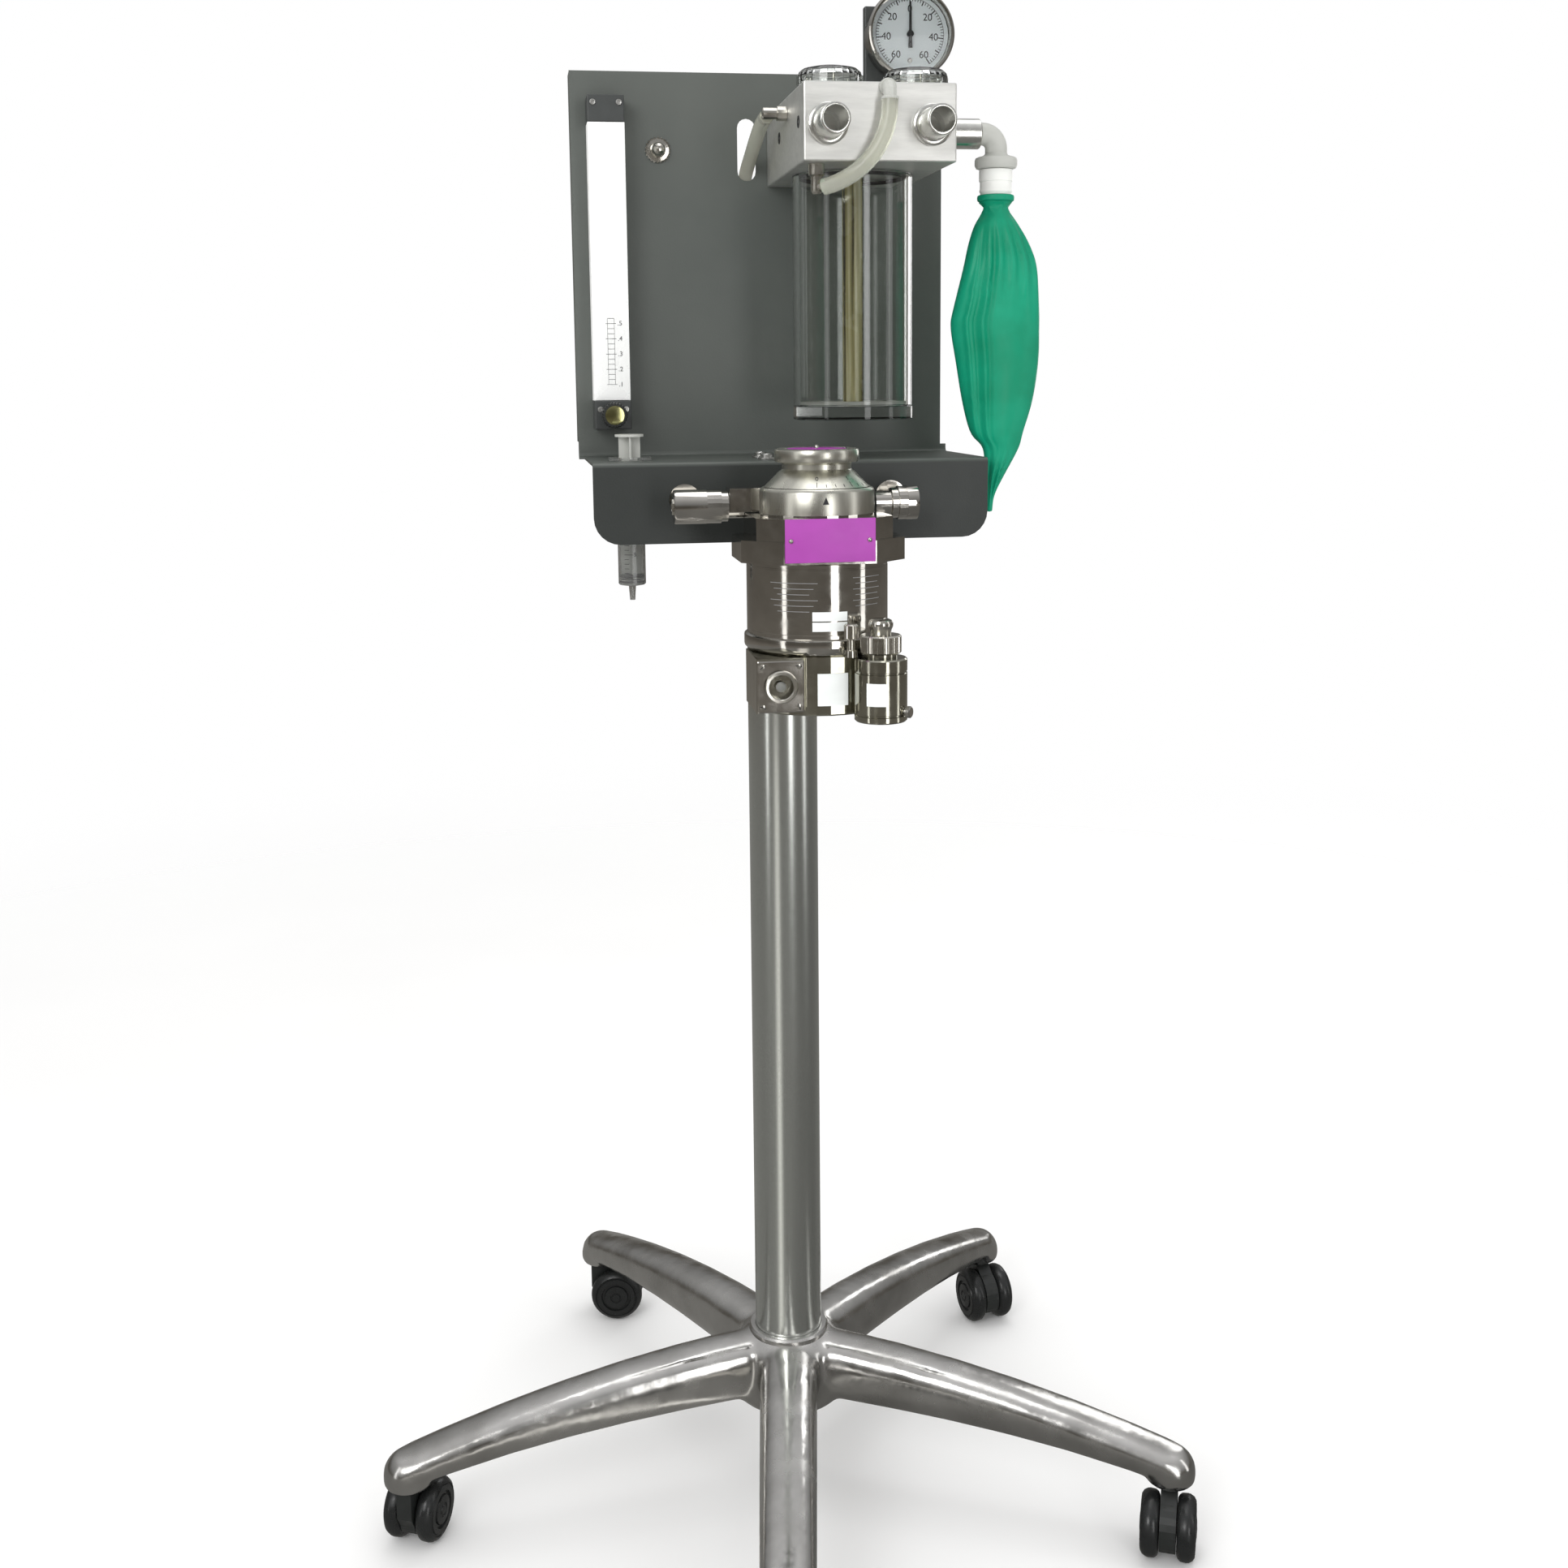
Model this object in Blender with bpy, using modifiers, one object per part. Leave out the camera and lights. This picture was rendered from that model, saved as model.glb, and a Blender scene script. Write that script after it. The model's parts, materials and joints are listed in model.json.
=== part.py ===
"""Small-animal anesthesia machine on a five-leg caster stand, in metres, +Z up, front towards -Y.

Every sub-part is one named object. Positions are given from the column's axis at floor level,
and the whole stand hangs on one empty, which is moved last so that the origin lies at the
bottom centre of the machine's bounding box.
"""
import math

import bmesh
import bpy
from mathutils import Matrix, Vector

# ---------------------------------------------------------------- driving dimensions
GAP = 0.0003                      # clearance between pieces that touch

# five-leg base
LEG_COUNT = 5
BASE_TWIST = math.radians(-9.5)   # the front leg points this far off the panel's normal
CASTER_RADIUS = 0.3184            # swivel axes stand on this circle
LEG_TIP_RADIUS = 0.0200
LEG_TOP_HUB = 0.1320              # height of a leg's ridge at the hub
LEG_TOP_TIP = 0.0825              # and at the caster
LEG_BOTTOM_HUB = 0.0785
LEG_BOTTOM_TIP = 0.0560
LEG_HALF_WIDTH_HUB = 0.0245
HUB_RADIUS = 0.0430
HUB_TOP = 0.1330

# casters
WHEEL_DIAMETER = 0.0500
WHEEL_WIDTH = 0.0155
WHEEL_INNER_GAP = 0.0140          # between the two wheels of one caster
CASTER_TRAIL = 0.0150             # from the swivel axis back to the axle
AXLE_DIAMETER = 0.0080
CASTER_STEM_DIAMETER = 0.0110
HOOD_RADIUS = 0.0215
CASTER_HEADINGS = (80.0, -114.0, -80.0, -9.0, 66.0)   # degrees, where each caster trails to

# column
COLUMN_DIAMETER = 0.0550
COLUMN_SOCKET_DEPTH = 0.0300
PLATE_SIZE = 0.0900               # square plate that bolts under the shelf
PLATE_THICKNESS = 0.0060
PLATE_BOLT_PITCH = 0.0360

# bent sheet: back panel, shelf and front apron
SHEET = 0.0020
SHEET_FOLD = 0.0030               # outer radius of the bends
SHELF_TOP = 0.8604
PANEL_TOP = SHELF_TOP + 0.3037
PANEL_FRONT = 0.0869              # y of the panel's front face
APRON_FRONT = -0.0438             # y of the apron's front face
PANEL_LEFT = -0.1522
PANEL_RIGHT = 0.1502
APRON_LEFT = -0.1483              # the shelf and apron reach further right than the panel
APRON_RIGHT = 0.1552
APRON_BOTTOM = SHELF_TOP - 0.0610
APRON_CORNER = 0.0200
FLANGE_DEPTH = 0.0250             # side flanges bent back from the panel
FLANGE_BOTTOM = SHELF_TOP + 0.0116
SLOT_X = -0.0113
SLOT_WIDTH = 0.0150
SLOT_LOW = SHELF_TOP + 0.2196
SLOT_HIGH = SHELF_TOP + 0.2686
NUT_PLACE = (-0.0831, SHELF_TOP + 0.2431)     # x, z of the acorn nut on the panel

# flowmeter
FLOW_X = -0.1255
FLOW_WIDTH = 0.0290
FLOW_DEPTH = 0.0245
FLOW_BASE_BOTTOM = SHELF_TOP + 0.0226
FLOW_BASE_TOP = SHELF_TOP + 0.0451
FLOW_BODY_TOP = SHELF_TOP + 0.2611
FLOW_CAP_TOP = SHELF_TOP + 0.2819
FLOW_BORE = 0.0100
FLOAT_DIAMETER = 0.0080
FLOAT_HEIGHT = 0.0100
KNOB_DIAMETER = 0.0205
KNOB_LENGTH = 0.0180

# syringe
SYRINGE_X = -0.1175
SYRINGE_Y = 0.0
SYRINGE_DIAMETER = 0.0213
SYRINGE_WALL = 0.0009
SYRINGE_CLEARANCE = 0.0010        # between the barrel and the shelf's hole
SYRINGE_SHOULDER = SHELF_TOP - 0.0959
SYRINGE_NOZZLE_BOTTOM = SHELF_TOP - 0.1080
FINGER_FLANGE = 0.0320
PLUNGER_TOP = SHELF_TOP + 0.0201
STOPPER_HEIGHT = 0.0065

# absorber head block
BLOCK_LEFT = 0.0054
BLOCK_RIGHT = 0.1178
BLOCK_BOTTOM = SHELF_TOP + 0.2150
BLOCK_TOP = SHELF_TOP + 0.2706
BLOCK_FRONT = -0.0870
PORT_DIAMETER = 0.0220            # 22 mm breathing connections
PORT_BORE = 0.0180
PORT_LENGTH = 0.0300
PORT_COLLAR_DIAMETER = 0.0295
PORT_Z = SHELF_TOP + 0.2409
PORT_X = (0.0230, 0.0995)         # inhale, exhale
PORT_BORE_DEPTH = 0.0120          # how far the bores run into the block
DOME_DIAMETER = 0.0468
DOME_HEIGHT = 0.0135
DOME_WALL = 0.0024
DOME_Y = -0.0600
DOME_X = (0.0295, 0.0935)
DISC_DIAMETER = 0.0300
DISC_THICKNESS = 0.0008

# canister
CANISTER_X = 0.0582
CANISTER_DIAMETER = 0.0930
CANISTER_WALL = 0.0050
CANISTER_BOTTOM = SHELF_TOP + 0.0296
CANISTER_PLATE = 0.0103
INNER_TUBE_DIAMETER = 0.0160
INNER_TUBE_WALL = 0.0020

# hoses
HOSE_DIAMETER = 0.0120
BARB_DIAMETER = 0.0080

# bag side
BAG_SIDE_Y = -0.0200
BAG_PORT_Z = SHELF_TOP + 0.2442
BAG_PORT_END = 0.1527
BAG_PORT_DIAMETER = 0.0225
ELBOW_DIAMETER = 0.0168
ELBOW_X = 0.1663
ELBOW_FLANGE_DIAMETER = 0.0325
ELBOW_FLANGE_TOP = SHELF_TOP + 0.2271
ELBOW_FLANGE_BOTTOM = SHELF_TOP + 0.2181
CONNECTOR_DIAMETER = 0.0256
CONNECTOR_BOTTOM = SHELF_TOP + 0.1991
BAG_BOTTOM = SHELF_TOP - 0.0454
BAG_THICKNESS = 0.0440

# manometer
GAUGE_X = 0.1005
GAUGE_Z = SHELF_TOP + 0.3177
GAUGE_FACE_Y = -0.0200
GAUGE_DIAMETER = 0.0665
GAUGE_DEPTH = 0.0280
GAUGE_RIM = 0.0032
POST_WIDTH = 0.0180
POST_TOP = SHELF_TOP + 0.3416

# vaporizer
VAP_X = 0.0085
VAP_Y = -0.1126
VAP_BOTTOM = SHELF_TOP - 0.1744
VAP_LOWER_TOP = SHELF_TOP - 0.1314
VAP_BAND_TOP = SHELF_TOP - 0.1204
VAP_BODY_TOP = SHELF_TOP - 0.0672
VAP_CROWN_STEP = SHELF_TOP - 0.0509
VAP_CROWN_TOP = SHELF_TOP - 0.0348
VAP_RING_TOP = SHELF_TOP - 0.0158
VAP_NECK_LOW = SHELF_TOP - 0.0044
VAP_NECK_TOP = SHELF_TOP + 0.0021
VAP_DIAL_TOP = SHELF_TOP + 0.0118
VAP_BODY_DIAMETER = 0.1020
VAP_BAND_DIAMETER = 0.1070
VAP_RING_DIAMETER = 0.0825
VAP_CAP_DIAMETER = 0.0610
VAP_NECK_DIAMETER = 0.0500
CROWN_HALF_WIDTH = 0.0590
CROWN_HALF_DEPTH = 0.0520
CROWN_UPPER_HALF_WIDTH = 0.0490
LABEL_WIDTH = 0.0640
LABEL_HEIGHT = 0.0305
LABEL_THICKNESS = 0.0010
SIGHT_WIDTH = 0.0335
SIGHT_HEIGHT = 0.0370
SIGHT_X = -0.0362                 # from the vaporizer's axis
FILLER_X = 0.0340                 # from the vaporizer's axis
FILLER_Y = -0.0600
FILLER_DIAMETER = 0.0372
FILLER_BOTTOM = SHELF_TOP - 0.1769
FILLER_TOP = SHELF_TOP - 0.1319
FILLER_CAP_DIAMETER = 0.0290
FILLER_KNOB_DIAMETER = 0.0175
FILLER_CAP_TOP = SHELF_TOP - 0.1159
FILLER_KNOB_TOP = SHELF_TOP - 0.1049
SIDE_PORT_Z = SHELF_TOP - 0.0309
SIDE_PORT_Y = -0.0800
SIDE_PORT_DIAMETER = 0.0250

SIDES = 32                        # facets round a large turned piece
SMALL_SIDES = 16

# ---------------------------------------------------------------- scene and helpers
for old in list(bpy.data.objects):
    bpy.data.objects.remove(old, do_unlink=True)


def new_collection(name):
    collection = bpy.data.collections.new(name)
    bpy.context.scene.collection.children.link(collection)
    return collection


PARTS = new_collection("anesthesia_machine")
CUTTERS = new_collection("cutters")

STAND = bpy.data.objects.new("stand_origin", None)
PARTS.objects.link(STAND)


def material(name, color, roughness, metallic=0.0, alpha=1.0):
    """A Principled material; a clear plastic also gets transmission."""
    made = bpy.data.materials.new(name)
    made.use_nodes = True
    shader = made.node_tree.nodes["Principled BSDF"]
    shader.inputs["Base Color"].default_value = (*color, 1.0)
    shader.inputs["Roughness"].default_value = roughness
    shader.inputs["Metallic"].default_value = metallic
    shader.inputs["Transmission Weight"].default_value = 1.0 - alpha
    made.diffuse_color = (*color, alpha)
    return made


CAST = material("polished_cast_aluminium", (0.62, 0.61, 0.60), 0.22, 1.0)
SATIN = material("satin_aluminium", (0.66, 0.66, 0.64), 0.38, 1.0)
CHROME = material("chrome", (0.72, 0.71, 0.69), 0.08, 1.0)
STEEL = material("zinc_plated_steel", (0.55, 0.55, 0.53), 0.35, 1.0)
POWDER = material("dark_powder_coat", (0.070, 0.080, 0.076), 0.48)
BLACK = material("black_plastic", (0.015, 0.016, 0.016), 0.45)
CLEAR = material("clear_acrylic", (0.90, 0.92, 0.91), 0.08, 0.0, 0.2)
MILKY = material("milky_plastic", (0.78, 0.78, 0.76), 0.35, 0.0, 0.5)
WHITE = material("white_plastic", (0.85, 0.85, 0.84), 0.35)
AMBER = material("aged_clear_plastic", (0.78, 0.76, 0.58), 0.18, 0.0, 0.3)
GREEN = material("green_rubber", (0.012, 0.36, 0.24), 0.42)
PURPLE = material("purple_label", (0.36, 0.07, 0.42), 0.45)
DIAL_WHITE = material("dial_face", (0.82, 0.86, 0.86), 0.5)
GREY = material("dark_grey_bracket", (0.05, 0.055, 0.055), 0.5)


def link(obj, parent, finish):
    PARTS.objects.link(obj)
    obj.parent = parent
    obj.data.materials.append(finish)
    return obj


def axis_empty(name, place, parent=None):
    """An empty on a joint's axis, which carries the pieces that move with it."""
    empty = bpy.data.objects.new(name, None)
    PARTS.objects.link(empty)
    empty.parent = parent or STAND
    empty.location = place
    return empty


def add_bevel(obj, width, segments=2):
    bevel = obj.modifiers.new("bevel", "BEVEL")
    bevel.width = width
    bevel.segments = segments
    bevel.limit_method = "ANGLE"
    bevel.angle_limit = math.radians(40.0)
    return bevel


def block(name, low, high, finish, parent=None, bevel=0.0):
    """A box between two corners, given from its parent."""
    mesh = bpy.data.meshes.new(name)
    shape = bmesh.new()
    size = Vector(high) - Vector(low)
    middle = (Vector(high) + Vector(low)) / 2.0
    place = Matrix.Translation(middle) @ Matrix.Diagonal((*size, 1.0))
    bmesh.ops.create_cube(shape, size=1.0, matrix=place)
    shape.to_mesh(mesh)
    shape.free()
    obj = link(bpy.data.objects.new(name, mesh), parent or STAND, finish)
    if bevel:
        add_bevel(obj, bevel)
    return obj


def turned(name, profile, place, finish, parent=None, direction=(0.0, 0.0, 1.0), closed=False, sides=SIDES):
    """A turned piece: (radius, height) points down its outer side, spun about `direction`."""
    mesh = bpy.data.meshes.new(name)
    shape = bmesh.new()
    points = [shape.verts.new((radius, 0.0, height)) for radius, height in profile]
    for first, second in zip(points, points[1:]):
        shape.edges.new((first, second))
    if closed:
        shape.edges.new((points[-1], points[0]))
    shape.to_mesh(mesh)
    shape.free()
    obj = link(bpy.data.objects.new(name, mesh), parent or STAND, finish)
    obj.location = place
    obj.rotation_mode = "QUATERNION"
    obj.rotation_quaternion = Vector((0.0, 0.0, 1.0)).rotation_difference(Vector(direction))
    screw = obj.modifiers.new("turn", "SCREW")
    screw.steps = sides
    screw.render_steps = sides
    screw.use_merge_vertices = True
    screw.merge_threshold = 0.00001
    screw.use_smooth_shade = True
    return obj


def rod(name, radius, low, high, place, finish, parent=None, direction=(0.0, 0.0, 1.0), sides=SMALL_SIDES,
        edge=0.0):
    """A solid cylinder along `direction`, from `low` to `high`, with chamfered rims."""
    profile = [(0.0, high), (radius - edge, high), (radius, high - edge),
               (radius, low + edge), (radius - edge, low), (0.0, low)]
    if not edge:
        profile = [(0.0, high), (radius, high), (radius, low), (0.0, low)]
    return turned(name, profile, place, finish, parent, direction, sides=sides)


def tube_ring(name, outer, inner, low, high, place, finish, parent=None, direction=(0.0, 0.0, 1.0),
              sides=SIDES):
    """A plain tube, open at both ends."""
    profile = [(outer, high), (outer, low), (inner, low), (inner, high)]
    return turned(name, profile, place, finish, parent, direction, closed=True, sides=sides)


def outline(name, points, low, high, finish, parent=None, holes=(), plane="XZ"):
    """A flat outline with holes, extruded between two heights along its plane's normal."""
    curve = bpy.data.curves.new(name, "CURVE")
    curve.dimensions = "2D"
    curve.fill_mode = "BOTH"
    curve.extrude = (high - low) / 2.0
    for loop in (points, *holes):
        spline = curve.splines.new("POLY")
        spline.points.add(len(loop) - 1)
        for point, (first, second) in zip(spline.points, loop):
            point.co = (first, second, 0.0, 1.0)
        spline.use_cyclic_u = True
    obj = bpy.data.objects.new(name, curve)
    PARTS.objects.link(obj)
    middle = (low + high) / 2.0
    if plane == "XZ":
        obj.matrix_world = Matrix.Translation((0.0, middle, 0.0)) @ Matrix.Rotation(math.pi / 2, 4, "X")
    elif plane == "YZ":
        turn = Matrix(((0, 0, 1, middle), (1, 0, 0, 0), (0, 1, 0, 0), (0, 0, 0, 1)))
        obj.matrix_world = turn
    else:
        obj.matrix_world = Matrix.Translation((0.0, 0.0, middle))
    return as_mesh(obj, finish, parent)


def as_mesh(source, finish, parent=None):
    """A welded mesh object in place of a curve, so that it can be cut or joined."""
    bpy.context.view_layer.update()
    name = source.name
    evaluated = source.evaluated_get(bpy.context.evaluated_depsgraph_get())
    mesh = bpy.data.meshes.new_from_object(evaluated)
    mesh.transform(source.matrix_world)
    shape = bmesh.new()
    shape.from_mesh(mesh)
    bmesh.ops.remove_doubles(shape, verts=shape.verts, dist=0.00001)
    bmesh.ops.recalc_face_normals(shape, faces=shape.faces)
    shape.to_mesh(mesh)
    shape.free()
    bpy.data.objects.remove(source, do_unlink=True)
    mesh.name = name
    mesh.materials.clear()
    return link(bpy.data.objects.new(name, mesh), parent or STAND, finish)


def pipe(name, points, radius, finish, parent=None, resolution=3):
    """A round bar along a chain of points, with filled caps."""
    curve = bpy.data.curves.new(name, "CURVE")
    curve.dimensions = "3D"
    curve.bevel_depth = radius
    curve.bevel_resolution = resolution
    curve.use_fill_caps = True
    spline = curve.splines.new("POLY")
    spline.points.add(len(points) - 1)
    for point, place in zip(spline.points, points):
        point.co = (*place, 1.0)
    obj = bpy.data.objects.new(name, curve)
    PARTS.objects.link(obj)
    return as_mesh(obj, finish, parent)


def smooth_route(points, steps):
    """Points of a Catmull-Rom curve through the route's own points."""
    chain = [2 * Vector(points[0]) - Vector(points[1])]
    chain += [Vector(point) for point in points]
    chain.append(2 * Vector(points[-1]) - Vector(points[-2]))
    route = []
    for index in range(1, len(chain) - 2):
        before, start, end, after = chain[index - 1:index + 3]
        for step in range(steps):
            t = step / steps
            route.append(0.5 * ((2 * start) + (end - before) * t
                                + (2 * before - 5 * start + 4 * end - after) * t ** 2
                                + (3 * start - before - 3 * end + after) * t ** 3))
    route.append(chain[-2])
    return route


def loft(name, rings, finish, parent=None):
    """A closed solid through rings of equal count, capped at both ends."""
    mesh = bpy.data.meshes.new(name)
    shape = bmesh.new()
    loops = [[shape.verts.new(point) for point in ring] for ring in rings]
    for lower, upper in zip(loops, loops[1:]):
        count = len(lower)
        for index in range(count):
            following = (index + 1) % count
            shape.faces.new((lower[index], lower[following], upper[following], upper[index]))
    shape.faces.new(loops[0])
    shape.faces.new(loops[-1])
    bmesh.ops.recalc_face_normals(shape, faces=shape.faces)
    shape.to_mesh(mesh)
    shape.free()
    return link(bpy.data.objects.new(name, mesh), parent or STAND, finish)


def boolean(target, tool, operation):
    """Adds a Boolean whose tool moves to the cutters' collection."""
    for owner in tool.users_collection:
        owner.objects.unlink(tool)
    CUTTERS.objects.link(tool)
    tool.hide_render = True
    tool.display_type = "WIRE"
    modifier = target.modifiers.new(operation.lower(), "BOOLEAN")
    modifier.operation = operation
    modifier.object = tool
    return target


def cut(target, *tools):
    for tool in tools:
        boolean(target, tool, "DIFFERENCE")
    return target


def join(target, *tools):
    for tool in tools:
        boolean(target, tool, "UNION")
    return target


def arc(center, radius, start, end, steps):
    """Points of an arc in a flat outline, angles in degrees."""
    points = []
    for step in range(steps + 1):
        angle = math.radians(start + (end - start) * step / steps)
        points.append((center[0] + radius * math.cos(angle), center[1] + radius * math.sin(angle)))
    return points


def polar(radius, angle, height):
    return Vector((radius * math.cos(angle), radius * math.sin(angle), height))


# ---------------------------------------------------------------- base, casters and column
def leg_angle(index):
    return -math.pi / 2 + BASE_TWIST + index * math.tau / LEG_COUNT


def leg_section(share, angle, reach):
    """One section of a leg: a rounded bar whose top arches from the hub down to the tip."""
    arch = 1.0 - share ** 1.9
    top = LEG_TOP_TIP + (LEG_TOP_HUB - LEG_TOP_TIP) * arch
    bottom = LEG_BOTTOM_TIP + (LEG_BOTTOM_HUB - LEG_BOTTOM_TIP) * (1.0 - share ** 3.0)
    half = LEG_HALF_WIDTH_HUB + (LEG_TIP_RADIUS - LEG_HALF_WIDTH_HUB) * share
    middle = (top + bottom) / 2.0
    height = (top - bottom) / 2.0
    along = Vector((math.cos(angle), math.sin(angle), 0.0))
    across = Vector((-along.y, along.x, 0.0))
    ring = []
    count = 14
    for index in range(count):
        turn = math.tau * (index + 0.5) / count
        side = math.copysign(abs(math.cos(turn)) ** 0.75, math.cos(turn))
        rise = math.copysign(abs(math.sin(turn)) ** 0.75, math.sin(turn))
        ring.append(along * reach * share + across * half * side + Vector((0, 0, middle + height * rise)))
    return ring


def star_base():
    hub_low = LEG_BOTTOM_HUB - 0.004
    hub = turned("star_base", [(0.0, HUB_TOP), (HUB_RADIUS * 0.72, HUB_TOP), (HUB_RADIUS, HUB_TOP - 0.010),
                               (HUB_RADIUS + 0.004, hub_low + 0.006), (HUB_RADIUS, hub_low), (0.0, hub_low)],
                 (0.0, 0.0, 0.0), CAST, sides=30)
    for index in range(LEG_COUNT):
        angle = leg_angle(index)
        shares = [0.04, 0.16, 0.3, 0.45, 0.6, 0.75, 0.9, 1.0]
        rings = [leg_section(share, angle, CASTER_RADIUS) for share in shares]
        join(hub, loft("leg_%d" % index, rings, CAST))
        tip_low = LEG_BOTTOM_TIP
        tip = turned("leg_tip_%d" % index,
                     [(0.0, LEG_TOP_TIP), (LEG_TIP_RADIUS * 0.6, LEG_TOP_TIP - 0.002),
                      (LEG_TIP_RADIUS * 0.93, LEG_TOP_TIP - 0.010), (LEG_TIP_RADIUS, LEG_TOP_TIP - 0.017),
                      (LEG_TIP_RADIUS, tip_low), (LEG_TIP_RADIUS - 0.002, tip_low - 0.002),
                      (0.0, tip_low - 0.002)],
                     polar(CASTER_RADIUS, angle, 0.0), CAST, sides=24)
        join(hub, tip)
    for index in range(LEG_COUNT):
        hole = rod("stem_hole_%d" % index, CASTER_STEM_DIAMETER / 2 + GAP, 0.0, LEG_BOTTOM_TIP + 0.020,
                   polar(CASTER_RADIUS, leg_angle(index), 0.0), CAST, sides=16)
        cut(hub, hole)
    socket = rod("column_socket", COLUMN_DIAMETER / 2 + GAP, HUB_TOP - COLUMN_SOCKET_DEPTH, HUB_TOP + 0.01,
                 (0.0, 0.0, 0.0), CAST, sides=SIDES)
    return cut(hub, socket)


def caster(index):
    """One twin-wheel caster: a swivelling hood with its stem, and the wheel set on its axle."""
    number = index + 1
    swivel = axis_empty("caster_swivel_%d" % number, polar(CASTER_RADIUS, leg_angle(index), 0.0))
    swivel.rotation_euler = (0.0, 0.0, math.radians(CASTER_HEADINGS[index]))
    axle_height = WHEEL_DIAMETER / 2
    hood_top = LEG_BOTTOM_TIP - 0.0032
    fender("caster_hood_%d" % number, WHEEL_INNER_GAP / 2 - 0.0006, hood_top, axle_height, swivel)
    wheels = axis_empty("caster_axle_%d" % number, (CASTER_TRAIL, 0.0, axle_height), swivel)
    wheel_set("caster_wheels_%d" % number, wheels)
    return swivel


def fender(name, half, top, axle_height, parent):
    """The caster's middle housing: a web between the wheels, a round boss and the stem."""
    radius = HOOD_RADIUS
    points = arc((CASTER_TRAIL, axle_height), radius, -35.0, 75.0, 8)
    points += [(0.0105, top), (-0.0105, top), (-0.0105, axle_height + 0.004)]
    points += arc((CASTER_TRAIL, axle_height), radius, 190.0, 215.0, 2)
    web = outline(name, points, -half, half, BLACK, parent, plane="XZ")
    stem = rod(name + "_stem", CASTER_STEM_DIAMETER / 2, top - 0.010, LEG_BOTTOM_TIP + 0.018,
               (0.0, 0.0, 0.0), STEEL, parent, sides=16)
    bore = rod(name + "_bore", AXLE_DIAMETER / 2 + GAP, -half * 2, half * 2, (CASTER_TRAIL, 0.0, axle_height),
               BLACK, parent, direction=(0.0, 1.0, 0.0), sides=16)
    join(web, stem)
    cut(web, bore)
    add_bevel(web, 0.0006, 1).angle_limit = math.radians(60.0)
    return web


def wheel_set(name, parent):
    """Two wheels on their axle, turned as one piece about Y."""
    outer = WHEEL_INNER_GAP / 2 + WHEEL_WIDTH
    inner = WHEEL_INNER_GAP / 2
    radius = WHEEL_DIAMETER / 2
    pin = AXLE_DIAMETER / 2
    profile = [(0.0, outer), (radius - 0.0060, outer), (radius - 0.0015, outer - 0.0025),
               (radius, outer - 0.0060), (radius, inner + 0.0020), (radius - 0.0020, inner), (pin, inner)]
    profile += [(distance, -height) for distance, height in reversed(profile)]
    return turned(name, profile, (0.0, 0.0, 0.0), BLACK, parent, direction=(0.0, 1.0, 0.0), sides=24)


def brake_lever(swivel):
    """The toe tab that locks one rear caster, hinged on a pin through its hood."""
    pivot_angle = math.radians(60.0)
    pivot_radius = HOOD_RADIUS + 0.0030
    offset = (pivot_radius * math.cos(pivot_angle), pivot_radius * math.sin(pivot_angle))
    hinge = axis_empty("brake_hinge", (CASTER_TRAIL + offset[0], 0.0, WHEEL_DIAMETER / 2 + offset[1]), swivel)
    axle = (-offset[0], -offset[1])
    outer = WHEEL_DIAMETER / 2 + 0.0032
    points = arc(axle, outer, 66.0, 6.0, 6)
    points += arc(axle, outer - 0.0022, 6.0, 54.0, 5)
    points += arc(axle, HOOD_RADIUS + 0.0008, 54.0, 66.0, 1)
    half = WHEEL_INNER_GAP / 2 - 0.0008
    return outline("caster_brake_lever", points, -half, half, BLACK, hinge)


def column_top():
    """Square plate with a socket collar, welded on the column and bolted under the shelf."""
    underside = SHELF_TOP - SHEET - GAP
    half = PLATE_SIZE / 2
    low = underside - PLATE_THICKNESS
    plate = block("column_top_plate", (-half, -half + 0.009, low), (half, half + 0.009, underside), STEEL)
    collar = rod("plate_collar", COLUMN_DIAMETER / 2 + 0.0045, low - 0.0220, low + 0.001, (0, 0, 0), STEEL)
    join(plate, collar)
    socket = rod("plate_socket", COLUMN_DIAMETER / 2 + GAP, low - 0.0300, low, (0, 0, 0), STEEL, sides=SIDES)
    cut(plate, socket)
    bottom = HUB_TOP - COLUMN_SOCKET_DEPTH + GAP
    top = low - GAP
    wall = 0.0025
    radius = COLUMN_DIAMETER / 2
    tube_ring("column_tube", radius, radius - wall, bottom, top, (0.0, 0.0, 0.0), SATIN)


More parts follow.
